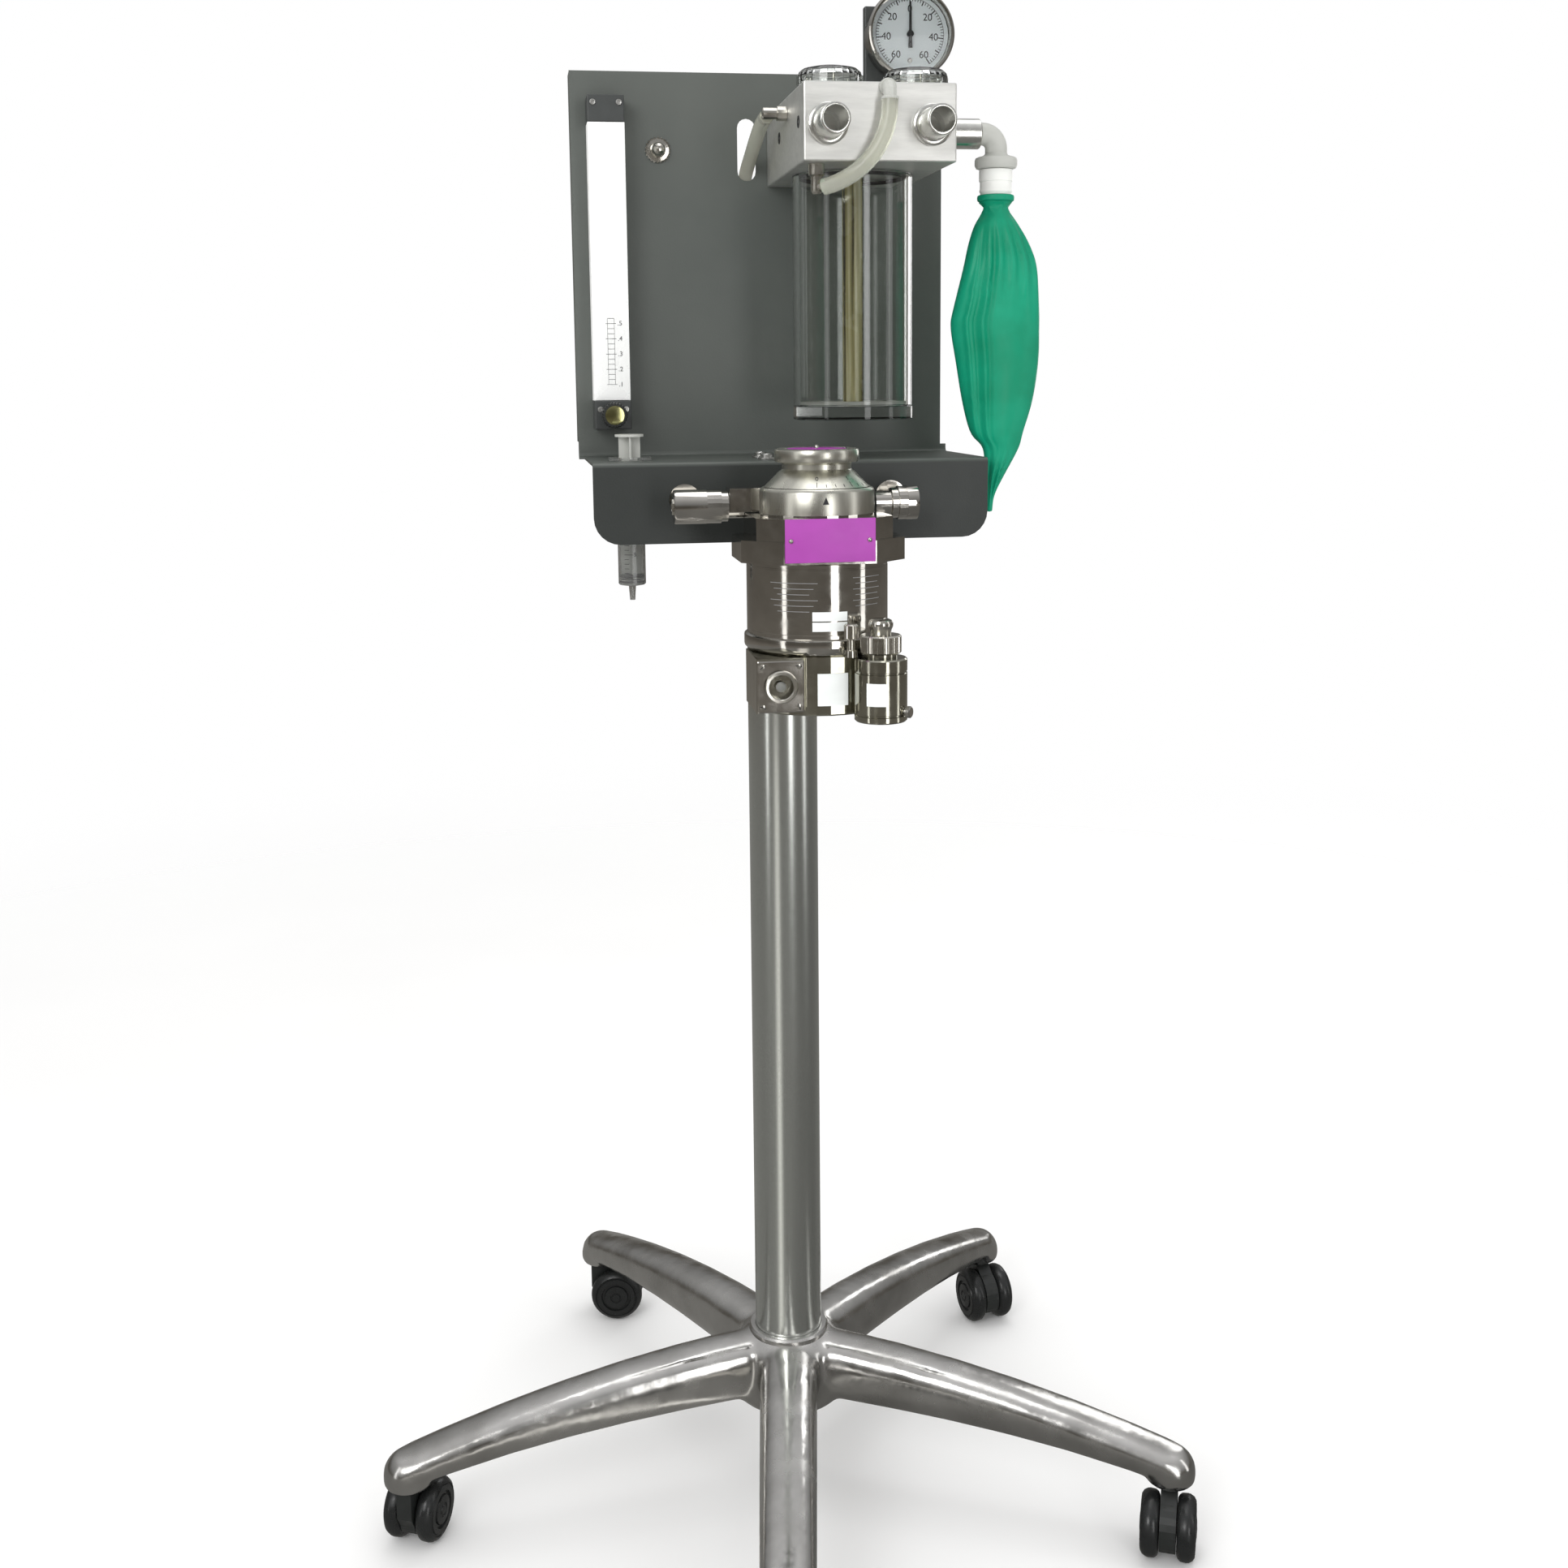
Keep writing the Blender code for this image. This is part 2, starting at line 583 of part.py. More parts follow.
# ---------------------------------------------------------------- bent sheet and its fittings
def mounting_sheet():
    """Back panel, shelf and apron bent from one sheet, with side flanges, slot and syringe hole."""
    back = PANEL_FRONT + SHEET
    fold = SHEET_FOLD
    margin = 0.01
    lap = 0.0002
    profile = [(PANEL_FRONT, PANEL_TOP), (PANEL_FRONT, SHELF_TOP + fold)]
    profile += arc((PANEL_FRONT - fold, SHELF_TOP + fold), fold, 0.0, -90.0, 3)[1:]
    profile += arc((APRON_FRONT + fold, SHELF_TOP - fold), fold, 90.0, 180.0, 3)
    profile += [(APRON_FRONT, APRON_BOTTOM), (APRON_FRONT + SHEET, APRON_BOTTOM)]
    profile += arc((APRON_FRONT + fold, SHELF_TOP - fold), fold - SHEET, 180.0, 90.0, 3)
    profile += arc((PANEL_FRONT - fold, SHELF_TOP + fold), fold + SHEET, -90.0, 0.0, 3)
    profile += [(back, PANEL_TOP)]
    sheet = outline("mounting_sheet", profile, PANEL_LEFT - lap, APRON_RIGHT, POWDER, plane="YZ")
    cut(sheet, block("apron_left_trim", (PANEL_LEFT - margin, APRON_FRONT - margin, APRON_BOTTOM - margin),
                     (APRON_LEFT, PANEL_FRONT - 2 * fold, SHELF_TOP + margin), POWDER))
    cut(sheet, block("panel_right_trim", (PANEL_RIGHT + lap, PANEL_FRONT - margin, SHELF_TOP + 2 * fold),
                     (APRON_RIGHT + margin, back + margin, PANEL_TOP + margin), POWDER))
    sides = (("left", PANEL_LEFT, PANEL_LEFT + SHEET), ("right", PANEL_RIGHT - SHEET, PANEL_RIGHT))
    for name, low, high in sides:
        join(sheet, block("flange_" + name, (low, back - SHEET / 2, FLANGE_BOTTOM),
                          (high, back + FLANGE_DEPTH, PANEL_TOP), POWDER))
    inset = 0.0005
    join(sheet, block("flange_top", (PANEL_LEFT + inset, back - SHEET / 2, PANEL_TOP - SHEET),
                      (PANEL_RIGHT - inset, back + FLANGE_DEPTH, PANEL_TOP), POWDER))
    for side, toward in ((APRON_LEFT, 1.0), (APRON_RIGHT, -1.0)):
        center = (side + toward * APRON_CORNER, APRON_BOTTOM + APRON_CORNER)
        outside = side - toward * margin
        below = APRON_BOTTOM - margin
        corner = arc(center, APRON_CORNER, 90.0 + toward * 90.0, 90.0 + toward * 180.0, 6)
        corner += [(center[0], below), (outside, below), (outside, center[1])]
        cut(sheet, outline("apron_corner", corner, APRON_FRONT - margin, APRON_FRONT + SHEET + fold, POWDER))
    radius = SLOT_WIDTH / 2
    slot = arc((SLOT_X, SLOT_HIGH - radius), radius, 0.0, 180.0, 8)
    slot += arc((SLOT_X, SLOT_LOW + radius), radius, 180.0, 360.0, 8)
    cut(sheet, outline("panel_slot", slot, PANEL_FRONT - margin, back + margin, POWDER))
    hole = rod("syringe_hole", SYRINGE_DIAMETER / 2 + SYRINGE_CLEARANCE, SHELF_TOP - margin,
               SHELF_TOP + margin,
               (SYRINGE_X, SYRINGE_Y, 0.0), POWDER, sides=SIDES)
    return cut(sheet, hole)


def sheet_fittings():
    """The flanged acorn nut on the panel and the socket screw that holds the column's plate."""
    turned("panel_nut", [(0.0, 0.0115), (0.0022, 0.0111), (0.0042, 0.0096), (0.0054, 0.0070), (0.0057,
                                                                                               0.0040),
                         (0.0062, 0.0018), (0.0088, 0.0014), (0.0088, 0.0), (0.0, 0.0)],
           (NUT_PLACE[0], PANEL_FRONT - GAP, NUT_PLACE[1]), CHROME, direction=(0.0, -1.0, 0.0), sides=24)
    turned("shelf_screw", [(0.0, 0.0042), (0.0040, 0.0042), (0.0046, 0.0036), (0.0046, 0.0014), (0.0070,
                                                                                                 0.0012),
                           (0.0070, 0.0), (0.0, 0.0)],
           (-PLATE_BOLT_PITCH / 2 + 0.005, -PLATE_BOLT_PITCH / 2, SHELF_TOP + GAP), CHROME, sides=SMALL_SIDES)


def flowmeter():
    """Clear metering tube between two blocks, with its float and needle-valve knob."""
    left = FLOW_X - FLOW_WIDTH / 2
    right = FLOW_X + FLOW_WIDTH / 2
    rear = PANEL_FRONT - GAP
    front = rear - FLOW_DEPTH
    bore_y = front + FLOW_DEPTH * 0.42
    block("flowmeter_base", (left, front - 0.0070, FLOW_BASE_BOTTOM), (right, rear, FLOW_BASE_TOP), BLACK,
          bevel=0.0008)
    body = block("flowmeter_tube", (left, front, FLOW_BASE_TOP + GAP), (right, rear, FLOW_BODY_TOP), CLEAR)
    bore = rod("flow_bore", FLOW_BORE / 2, FLOW_BASE_TOP + 0.0060, FLOW_BODY_TOP + 0.01,
               (FLOW_X, bore_y, 0.0), CLEAR, sides=24)
    cut(body, bore)
    block("flowmeter_cap", (left, front, FLOW_BODY_TOP + GAP), (right, rear, FLOW_CAP_TOP), BLACK,
          bevel=0.0008)
    seat = FLOW_BASE_TOP + 0.0060 + GAP
    float_axis = axis_empty("float_axis", (FLOW_X, bore_y, seat))
    turned("flowmeter_float", [(0.0, FLOAT_HEIGHT), (FLOAT_DIAMETER / 2, FLOAT_HEIGHT),
                               (FLOAT_DIAMETER / 2, FLOAT_HEIGHT * 0.55), (0.0012, 0.0), (0.0, 0.0)],
           (0.0, 0.0, 0.0), BLACK, float_axis, sides=16)
    knob_z = (FLOW_BASE_BOTTOM + FLOW_BASE_TOP) / 2
    knob_axis = axis_empty("flow_knob_axis", (FLOW_X, front - 0.0070 - GAP, knob_z))
    radius = KNOB_DIAMETER / 2
    turned("flowmeter_knob", [(0.0, KNOB_LENGTH), (radius - 0.0022, KNOB_LENGTH), (radius - 0.0005,
                                                                                   KNOB_LENGTH - 0.0012),
                              (radius, KNOB_LENGTH - 0.0035), (radius, 0.0060), (radius - 0.0020, 0.0050),
                              (0.0052, 0.0045), (0.0052, 0.0), (0.0, 0.0)],
           (0.0, 0.0, 0.0), AMBER, knob_axis, direction=(0.0, -1.0, 0.0), sides=28)


def syringe():
    """A 20 ml syringe that stands in the shelf's hole, with its plunger pushed home."""
    lift = axis_empty("syringe_lift", (SYRINGE_X, SYRINGE_Y, SHELF_TOP))
    radius = SYRINGE_DIAMETER / 2
    inner = radius - SYRINGE_WALL
    flange_low = GAP
    flange_high = 0.0026
    shoulder = SYRINGE_SHOULDER - SHELF_TOP
    nozzle = SYRINGE_NOZZLE_BOTTOM - SHELF_TOP
    barrel = turned("syringe_barrel",
                    [(radius, flange_high), (radius, shoulder + 0.0010), (radius - 0.0010, shoulder),
                     (0.0028, shoulder - 0.0012), (0.0020, nozzle), (0.0010, nozzle),
                     (0.0010, shoulder + 0.0006), (inner, shoulder + 0.0008), (inner, flange_high)],
                    (0.0, 0.0, 0.0), MILKY, lift, closed=True, sides=24)
    half = FINGER_FLANGE / 2
    ears = [(-half, -0.0080), (-half + 0.003, -0.0105), (half - 0.003, -0.0105), (half, -0.0080),
            (half, 0.0080), (half - 0.003, 0.0105), (-half + 0.003, 0.0105), (-half, 0.0080)]
    hole = arc((0.0, 0.0), inner + 0.0002, 0.0, 345.0, 23)
    flange = outline("finger_flange", ears, flange_low, flange_high, MILKY, lift, holes=(hole,), plane="XY")
    join(barrel, flange)
    plunger_axis = axis_empty("plunger_axis", (0.0, 0.0, 0.0), lift)
    low = shoulder + 0.0008 + GAP
    seal = inner - GAP
    top = PLUNGER_TOP - SHELF_TOP
    rod_top = top - 0.0018
    plunger = turned("syringe_plunger",
                     [(0.0, low + STOPPER_HEIGHT), (seal, low + STOPPER_HEIGHT), (seal, low + 0.0045),
                      (seal - 0.0008, low + 0.0038), (seal - 0.0008, low + 0.0028), (seal, low + 0.0020),
                      (seal, low), (0.0, low)], (0.0, 0.0, 0.0), BLACK, plunger_axis, sides=24)
    rib = seal - 0.0012
    for index, size in enumerate(((rib, 0.0007), (0.0007, rib))):
        join(plunger, block("rib_%d" % index, (-size[0], -size[1], low + 0.004), (size[0], size[1],
                                                                                  rod_top + 0.0005),
                            MILKY, plunger_axis))
    thumb = rod("thumb_plate", 0.0110, rod_top, top, (0.0, 0.0, 0.0), MILKY, plunger_axis, sides=24)
    return join(plunger, thumb)


# ---------------------------------------------------------------- absorber head
def absorber_block():
    """The machined head block: two 22 mm ports, two valve seats, bag outlet and canister recess."""
    rear = PANEL_FRONT - GAP
    head = block("absorber_block", (BLOCK_LEFT, BLOCK_FRONT, BLOCK_BOTTOM), (BLOCK_RIGHT, rear,
                                                                             BLOCK_TOP), SATIN,
                 bevel=0.0012)
    for index, x in enumerate(PORT_X):
        cut(head, rod("port_bore_%d" % index, PORT_BORE / 2, -0.01, PORT_BORE_DEPTH, (x, BLOCK_FRONT,
                                                                                      PORT_Z), SATIN,
                      direction=(0.0, 1.0, 0.0), sides=24))
    for index, x in enumerate(DOME_X):
        seat_low = BLOCK_TOP - 0.0060
        bore = rod("valve_bore_%d" % index, 0.0100, seat_low, BLOCK_TOP + 0.01, (x, DOME_Y, 0.0), SATIN,
                   sides=24)
        cut(head, bore)
    return head


def ports():
    """Front breathing ports with their collars, and the bag port on the right side."""
    for name, x in zip(("inhale_port", "exhale_port"), PORT_X):
        radius = PORT_DIAMETER / 2
        bore = PORT_BORE / 2
        collar = PORT_COLLAR_DIAMETER / 2
        turned(name, [(bore, PORT_LENGTH), (radius - 0.0006, PORT_LENGTH), (radius, PORT_LENGTH - 0.001),
                      (radius + 0.0004, 0.0035), (collar - 0.0008, 0.0030), (collar, 0.0022), (collar, 0.0),
                      (bore, 0.0)],
               (x, BLOCK_FRONT - GAP, PORT_Z), SATIN, direction=(0.0, -1.0, 0.0), closed=True, sides=24)
    radius = BAG_PORT_DIAMETER / 2
    length = BAG_PORT_END - BLOCK_RIGHT - GAP
    turned("bag_port", [(0.0082, length), (radius - 0.0005, length), (radius, length - 0.0006), (radius,
                                                                                                 0.0024),
                        (radius + 0.0012, 0.0020), (radius + 0.0012, 0.0), (0.0082, 0.0)],
           (BLOCK_RIGHT + GAP, BAG_SIDE_Y, BAG_PORT_Z), SATIN, direction=(1.0, 0.0, 0.0), closed=True,
           sides=24)


def valve_domes():
    """Two clear ribbed domes over the one-way valves, each with its light disc."""
    radius = DOME_DIAMETER / 2
    inner = radius - DOME_WALL
    for side, x in zip(("inhale", "exhale"), DOME_X):
        cap = axis_empty(side + "_dome_axis", (x, DOME_Y, BLOCK_TOP + GAP))
        dome = turned(side + "_valve_dome",
                      [(0.0, DOME_HEIGHT), (radius * 0.55, DOME_HEIGHT - 0.0004), (radius * 0.86,
                                                                                   DOME_HEIGHT - 0.0020),
                       (radius * 0.97, DOME_HEIGHT - 0.0042), (radius, DOME_HEIGHT - 0.0065), (radius, 0.0),
                       (inner, 0.0), (inner, DOME_HEIGHT - 0.0070), (inner * 0.9, DOME_HEIGHT - 0.0046),
                       (inner * 0.55, DOME_HEIGHT - 0.0030), (0.0, DOME_HEIGHT - 0.0026)],
                      (0.0, 0.0, 0.0), CLEAR, cap, sides=24)
        for index in range(8):
            angle = index * math.tau / 8
            rib = block("%s_rib_%d" % (side, index), (radius - 0.001, -0.0011, 0.0), (radius + 0.0008,
                                                                                      0.0011, 0.0070),
                        CLEAR, cap)
            rib.rotation_euler = (0.0, 0.0, angle)
            join(dome, rib)
        lift = axis_empty(side + "_disc_axis", (x, DOME_Y, BLOCK_TOP + GAP))
        rod(side + "_valve_disc", DISC_DIAMETER / 2, 0.0, DISC_THICKNESS, (0.0, 0.0, 0.0), AMBER, lift,
            sides=28)


def canister():
    """Clear canister: tube, base plate and inner gas tube, which unscrew from the head as one."""
    turn = axis_empty("canister_axis", (CANISTER_X, 0.0, 0.0))
    radius = CANISTER_DIAMETER / 2
    tube_low = CANISTER_BOTTOM + CANISTER_PLATE
    top = BLOCK_BOTTOM - GAP
    rod("canister_base", radius + 0.0004, CANISTER_BOTTOM, tube_low, (0, 0, 0), CLEAR, turn, sides=SIDES,
        edge=0.0006)
    tube_ring("canister_tube", radius, radius - CANISTER_WALL, tube_low + GAP, top, (0, 0, 0), CLEAR, turn)
    inner = INNER_TUBE_DIAMETER / 2
    tube_ring("canister_inner_tube", inner, inner - INNER_TUBE_WALL, tube_low + GAP, top, (0, 0, 0),
              AMBER, turn,
              sides=SMALL_SIDES)


# routes of the hoses' centre lines: x, y, and height above the shelf
LOOP_ROUTE = [(0.0665, -0.0952, 0.2578), (0.0655, -0.0967, 0.2455), (0.0626, -0.0971, 0.2344),
              (0.0580, -0.0964, 0.2247), (0.0521, -0.0945, 0.2163), (0.0451, -0.0914, 0.2094),
              (0.0373, -0.0871, 0.2040), (0.0289, -0.0814, 0.2001), (0.0220, -0.0760, 0.1982)]
GAS_ROUTE = [(-0.0090, -0.0080, 0.2571), (-0.0092, 0.0080, 0.2559), (-0.0095, 0.0250, 0.2524),
             (-0.0100, 0.0450, 0.2456), (-0.0105, 0.0660, 0.2374), (-0.0110, 0.0880, 0.2288),
             (-0.0108, 0.1035, 0.2211), (-0.0102, 0.1170, 0.2101), (-0.0090, 0.1270, 0.1956),
             (-0.0070, 0.1325, 0.1786), (-0.0030, 0.1340, 0.1566), (0.0060, 0.1335, 0.1216),
             (0.0230, 0.1330, 0.0766), (0.0400, 0.1325, 0.0366), (0.0480, 0.1300, 0.0176),
             (0.0550, 0.1225, -0.0004), (0.0605, 0.1100, -0.0154), (0.0635, 0.0920, -0.0254),
             (0.0648, 0.0720, -0.0284), (0.0650, 0.0500, -0.0286), (0.0650, 0.0200, -0.0286),
             (0.0650, -0.0150, -0.0284)]
HOSE_BARB_PLACE = (0.0171, -0.0719)
SIDE_BARB_Y = -0.0130


def hose_fittings():
    """The manometer line's elbow and barb, the fresh-gas barb, and the outlet barb behind the apron."""
    bend = 0.0055
    top = BLOCK_TOP - 0.0038
    line_x, line_y, line_rise = LOOP_ROUTE[0]
    elbow_route = [(line_x, BLOCK_FRONT - GAP, top)]
    for step in range(5):
        turn = step * math.pi / 8
        elbow_route.append((line_x, line_y + bend - bend * math.sin(turn),
                            top - bend + bend * math.cos(turn)))
    elbow_route += [(line_x, line_y, SHELF_TOP + line_rise + 0.0012)]
    elbow = pipe("hose_elbow", elbow_route, 0.0048, MILKY, resolution=3)
    join(elbow, rod("elbow_collar", 0.0062, 0.0, 0.0020, (line_x, BLOCK_FRONT - GAP, top), MILKY,
                    direction=(0.0, -1.0, 0.0)))
    under = BLOCK_BOTTOM - GAP
    nozzle_drop = 0.0165
    barb = turned("hose_barb", [(0.0, under), (0.0060, under), (0.0060, under - 0.0080),
                                (0.0042, under - 0.0090), (0.0042, under - 0.0195),
                                (0.0030, under - 0.0215), (0.0, under - 0.0215)],
                  (*HOSE_BARB_PLACE, 0.0), CHROME, sides=SMALL_SIDES)
    nozzle = rod("barb_nozzle", 0.0034, 0.0, 0.0046, (*HOSE_BARB_PLACE, under - nozzle_drop), CHROME,
                 direction=(0.757, -0.643, 0.0))
    join(barb, nozzle)
    side_z = BLOCK_TOP - 0.0125
    side = turned("side_barb", [(0.0, 0.0186), (0.0034, 0.0186), (0.0043, 0.0178), (0.0043, 0.0075),
                                (0.0054, 0.0073), (0.0054, 0.0), (0.0, 0.0)],
                  (BLOCK_LEFT - GAP, SIDE_BARB_Y, side_z), CHROME, direction=(-1.0, 0.0, 0.0),
                  sides=SMALL_SIDES)
    join(side, rod("side_nozzle", 0.0036, 0.0, 0.0047, (GAS_ROUTE[0][0], SIDE_BARB_Y, side_z), CHROME,
                   direction=(0.0, 1.0, 0.0)))
    rear_face = APRON_FRONT + SHEET + GAP
    outlet_x, outlet_y, outlet_rise = GAS_ROUTE[-1]
    reach = outlet_y - rear_face - GAP
    turned("rear_outlet_barb", [(0.0, reach), (0.0034, reach), (0.0042, reach - 0.0025), (0.0034,
                                                                                          reach - 0.0045),
                                (0.0042, reach - 0.0070), (0.0034, reach - 0.0090), (0.0034, 0.0085),
                                (0.0080, 0.0083), (0.0080, 0.0), (0.0, 0.0)],
           (outlet_x, rear_face, SHELF_TOP + outlet_rise), CHROME, direction=(0.0, 1.0, 0.0),
           sides=SMALL_SIDES)


def hoses():
    """The short loop in front of the head, and the fresh-gas hose through the panel's slot."""
    for name, route, shrink in (("loop_hose", LOOP_ROUTE, 0.0), ("fresh_gas_hose", GAS_ROUTE, 0.0005)):
        points = [(x, y, SHELF_TOP + rise) for x, y, rise in route]
        pipe(name, smooth_route(points, 2), HOSE_DIAMETER / 2 - shrink, AMBER, resolution=2)


# ---------------------------------------------------------------- breathing bag
def bag_side():
    """Milky elbow that turns on the bag port, white connector, and the green bag below it."""
    swing = axis_empty("elbow_swing", (0.0, BAG_SIDE_Y, BAG_PORT_Z))
    radius = ELBOW_DIAMETER / 2
    bend = 0.0060
    start = BAG_PORT_END + GAP
    route = [(start, 0.0, 0.0), (ELBOW_X - bend, 0.0, 0.0)]
    route += [(ELBOW_X - bend + bend * math.sin(step * math.pi / 8), 0.0,
               -bend + bend * math.cos(step * math.pi / 8)) for step in range(1, 4)]
    flange_top = ELBOW_FLANGE_TOP - BAG_PORT_Z
    flange_low = ELBOW_FLANGE_BOTTOM - BAG_PORT_Z
    route += [(ELBOW_X, 0.0, -bend), (ELBOW_X, 0.0, flange_top - 0.004)]
    elbow = pipe("bag_elbow", route, radius, MILKY, swing, resolution=4)
    rim = ELBOW_FLANGE_DIAMETER / 2
    flange = turned("elbow_flange", [(0.0, flange_top), (rim - 0.0025, flange_top), (rim,
                                                                                     flange_top - 0.0022),
                                     (rim, flange_low + 0.0022), (rim - 0.0025, flange_low), (0.0,
                                                                                              flange_low)],
                    (ELBOW_X, 0.0, 0.0), MILKY, swing, sides=24)
    join(elbow, flange)
    spin = axis_empty("bag_spin", (ELBOW_X, 0.0, 0.0), swing)
    low = CONNECTOR_BOTTOM - BAG_PORT_Z
    sleeve = CONNECTOR_DIAMETER / 2
    top = flange_low - GAP
    turned("bag_connector", [(0.0, top), (sleeve, top), (sleeve, top - 0.0090), (sleeve - 0.0006,
                                                                                 top - 0.0095),
                             (sleeve - 0.0006, low + 0.001), (sleeve - 0.0014, low), (0.0, low)],
           (0.0, 0.0, 0.0), WHITE, spin, sides=24)
    breathing_bag(spin, low - GAP)


def breathing_bag(spin, top):
    """The bag as one closed solid: neck ring, shoulders, belly and tail, flattened front to back."""
    stations = [(0.0, -0.0138, 0.0138, 1.0), (0.0040, -0.0142, 0.0142, 1.0), (0.0090, -0.0100, 0.0102, 1.0),
                (0.0150, -0.0115, 0.0125, 0.9), (0.0230, -0.0165, 0.0186, 0.78),
                (0.0370, -0.0210, 0.0270, 0.68), (0.0550, -0.0250, 0.0330, 0.62),
                (0.0850, -0.0330, 0.0352, 0.58), (0.0990, -0.0352, 0.0355, 0.56),
                (0.1250, -0.0312, 0.0352, 0.58), (0.1550, -0.0262, 0.0312, 0.60),
                (0.1800, -0.0195, 0.0242, 0.62), (0.1930, -0.0092, 0.0206, 0.62),
                (0.2150, -0.0080, 0.0090, 0.7), (0.2300, -0.0060, 0.0020, 0.9), (0.2430, -0.0050, 0.0000, 0.9)]
    length = top + BAG_PORT_Z - BAG_BOTTOM
    scale = length / stations[-1][0]
    rings = []
    count = 20
    for drop, left, right, flat in stations:
        middle = (left + right) / 2
        half = (right - left) / 2
        depth = min(half * flat, BAG_THICKNESS / 2)
        rings.append([(middle + half * math.cos(math.tau * index / count),
                       depth * math.sin(math.tau * index / count), top - drop * scale)
                      for index in range(count)])
    return loft("breathing_bag", rings, GREEN, spin)


# ---------------------------------------------------------------- manometer
def manometer():
    """Round pressure gauge on a post: case with rim, dial, lens and pointer."""
    face = GAUGE_FACE_Y
    radius = GAUGE_DIAMETER / 2
    bore = radius - GAUGE_RIM
    center = (GAUGE_X, face, GAUGE_Z)
    front = (0.0, -1.0, 0.0)
    dial_depth = 0.0085
    seat = -dial_depth - 0.0012 - GAP
    turned("manometer_case", [(0.0, seat), (bore, seat), (bore, 0.0), (radius - 0.0012, 0.0), (radius,
                                                                                               -0.0014),
                              (radius, -0.0065), (radius - 0.0016, -0.0085), (radius - 0.0016,
                                                                              -GAUGE_DEPTH + 0.002),
                              (radius - 0.0030, -GAUGE_DEPTH), (0.0, -GAUGE_DEPTH)],
           center, CHROME, direction=front)
    rod("manometer_dial", bore - GAP, -dial_depth - 0.0012, -dial_depth, center, DIAL_WHITE,
        direction=front, sides=36)
    rod("manometer_lens", bore - GAP, -0.0030, -0.0010, center, CLEAR, direction=front, sides=36)
    pointer = axis_empty("pointer_axis", (GAUGE_X, face + dial_depth - 0.0020, GAUGE_Z))
    half = 0.0006
    shape = [(-half, 0.0235), (half, 0.0235), (0.0011, 0.0), (0.0015, -0.0100), (-0.0015, -0.0100),
             (-0.0011, 0.0)]
    needle = outline("manometer_needle", shape, -0.0004, 0.0004, BLACK, pointer)
    join(needle, rod("needle_boss", 0.0026, -0.0008, 0.0010, (0.0, 0.0, 0.0), BLACK, pointer,
                     direction=(0.0, 1.0, 0.0), sides=16))
    back = face + GAUGE_DEPTH + GAP
    left = GAUGE_X - 0.0305
    post = block("manometer_post", (left, back, BLOCK_TOP + GAP), (left + POST_WIDTH, back + 0.0080,
                                                                   POST_TOP), GREY,
                 bevel=0.0010)
    foot = block("post_foot", (left - 0.004, back, BLOCK_TOP + GAP),
                 (left + POST_WIDTH + 0.004, back + 0.0200, BLOCK_TOP + 0.0050), GREY)
    return join(post, foot)


# ---------------------------------------------------------------- vaporizer
def octagon(half_width, half_depth, chamfer):
    """Corner points of a box with cut corners, about the vaporizer's axis."""
    a = half_width
    b = half_depth
    c = chamfer
    points = [(a, b - c), (a - c, b), (-a + c, b), (-a, b - c), (-a, -b + c), (-a + c, -b), (a - c, -b),
              (a, -b + c)]
    return [(VAP_X + x, VAP_Y + y) for x, y in points]


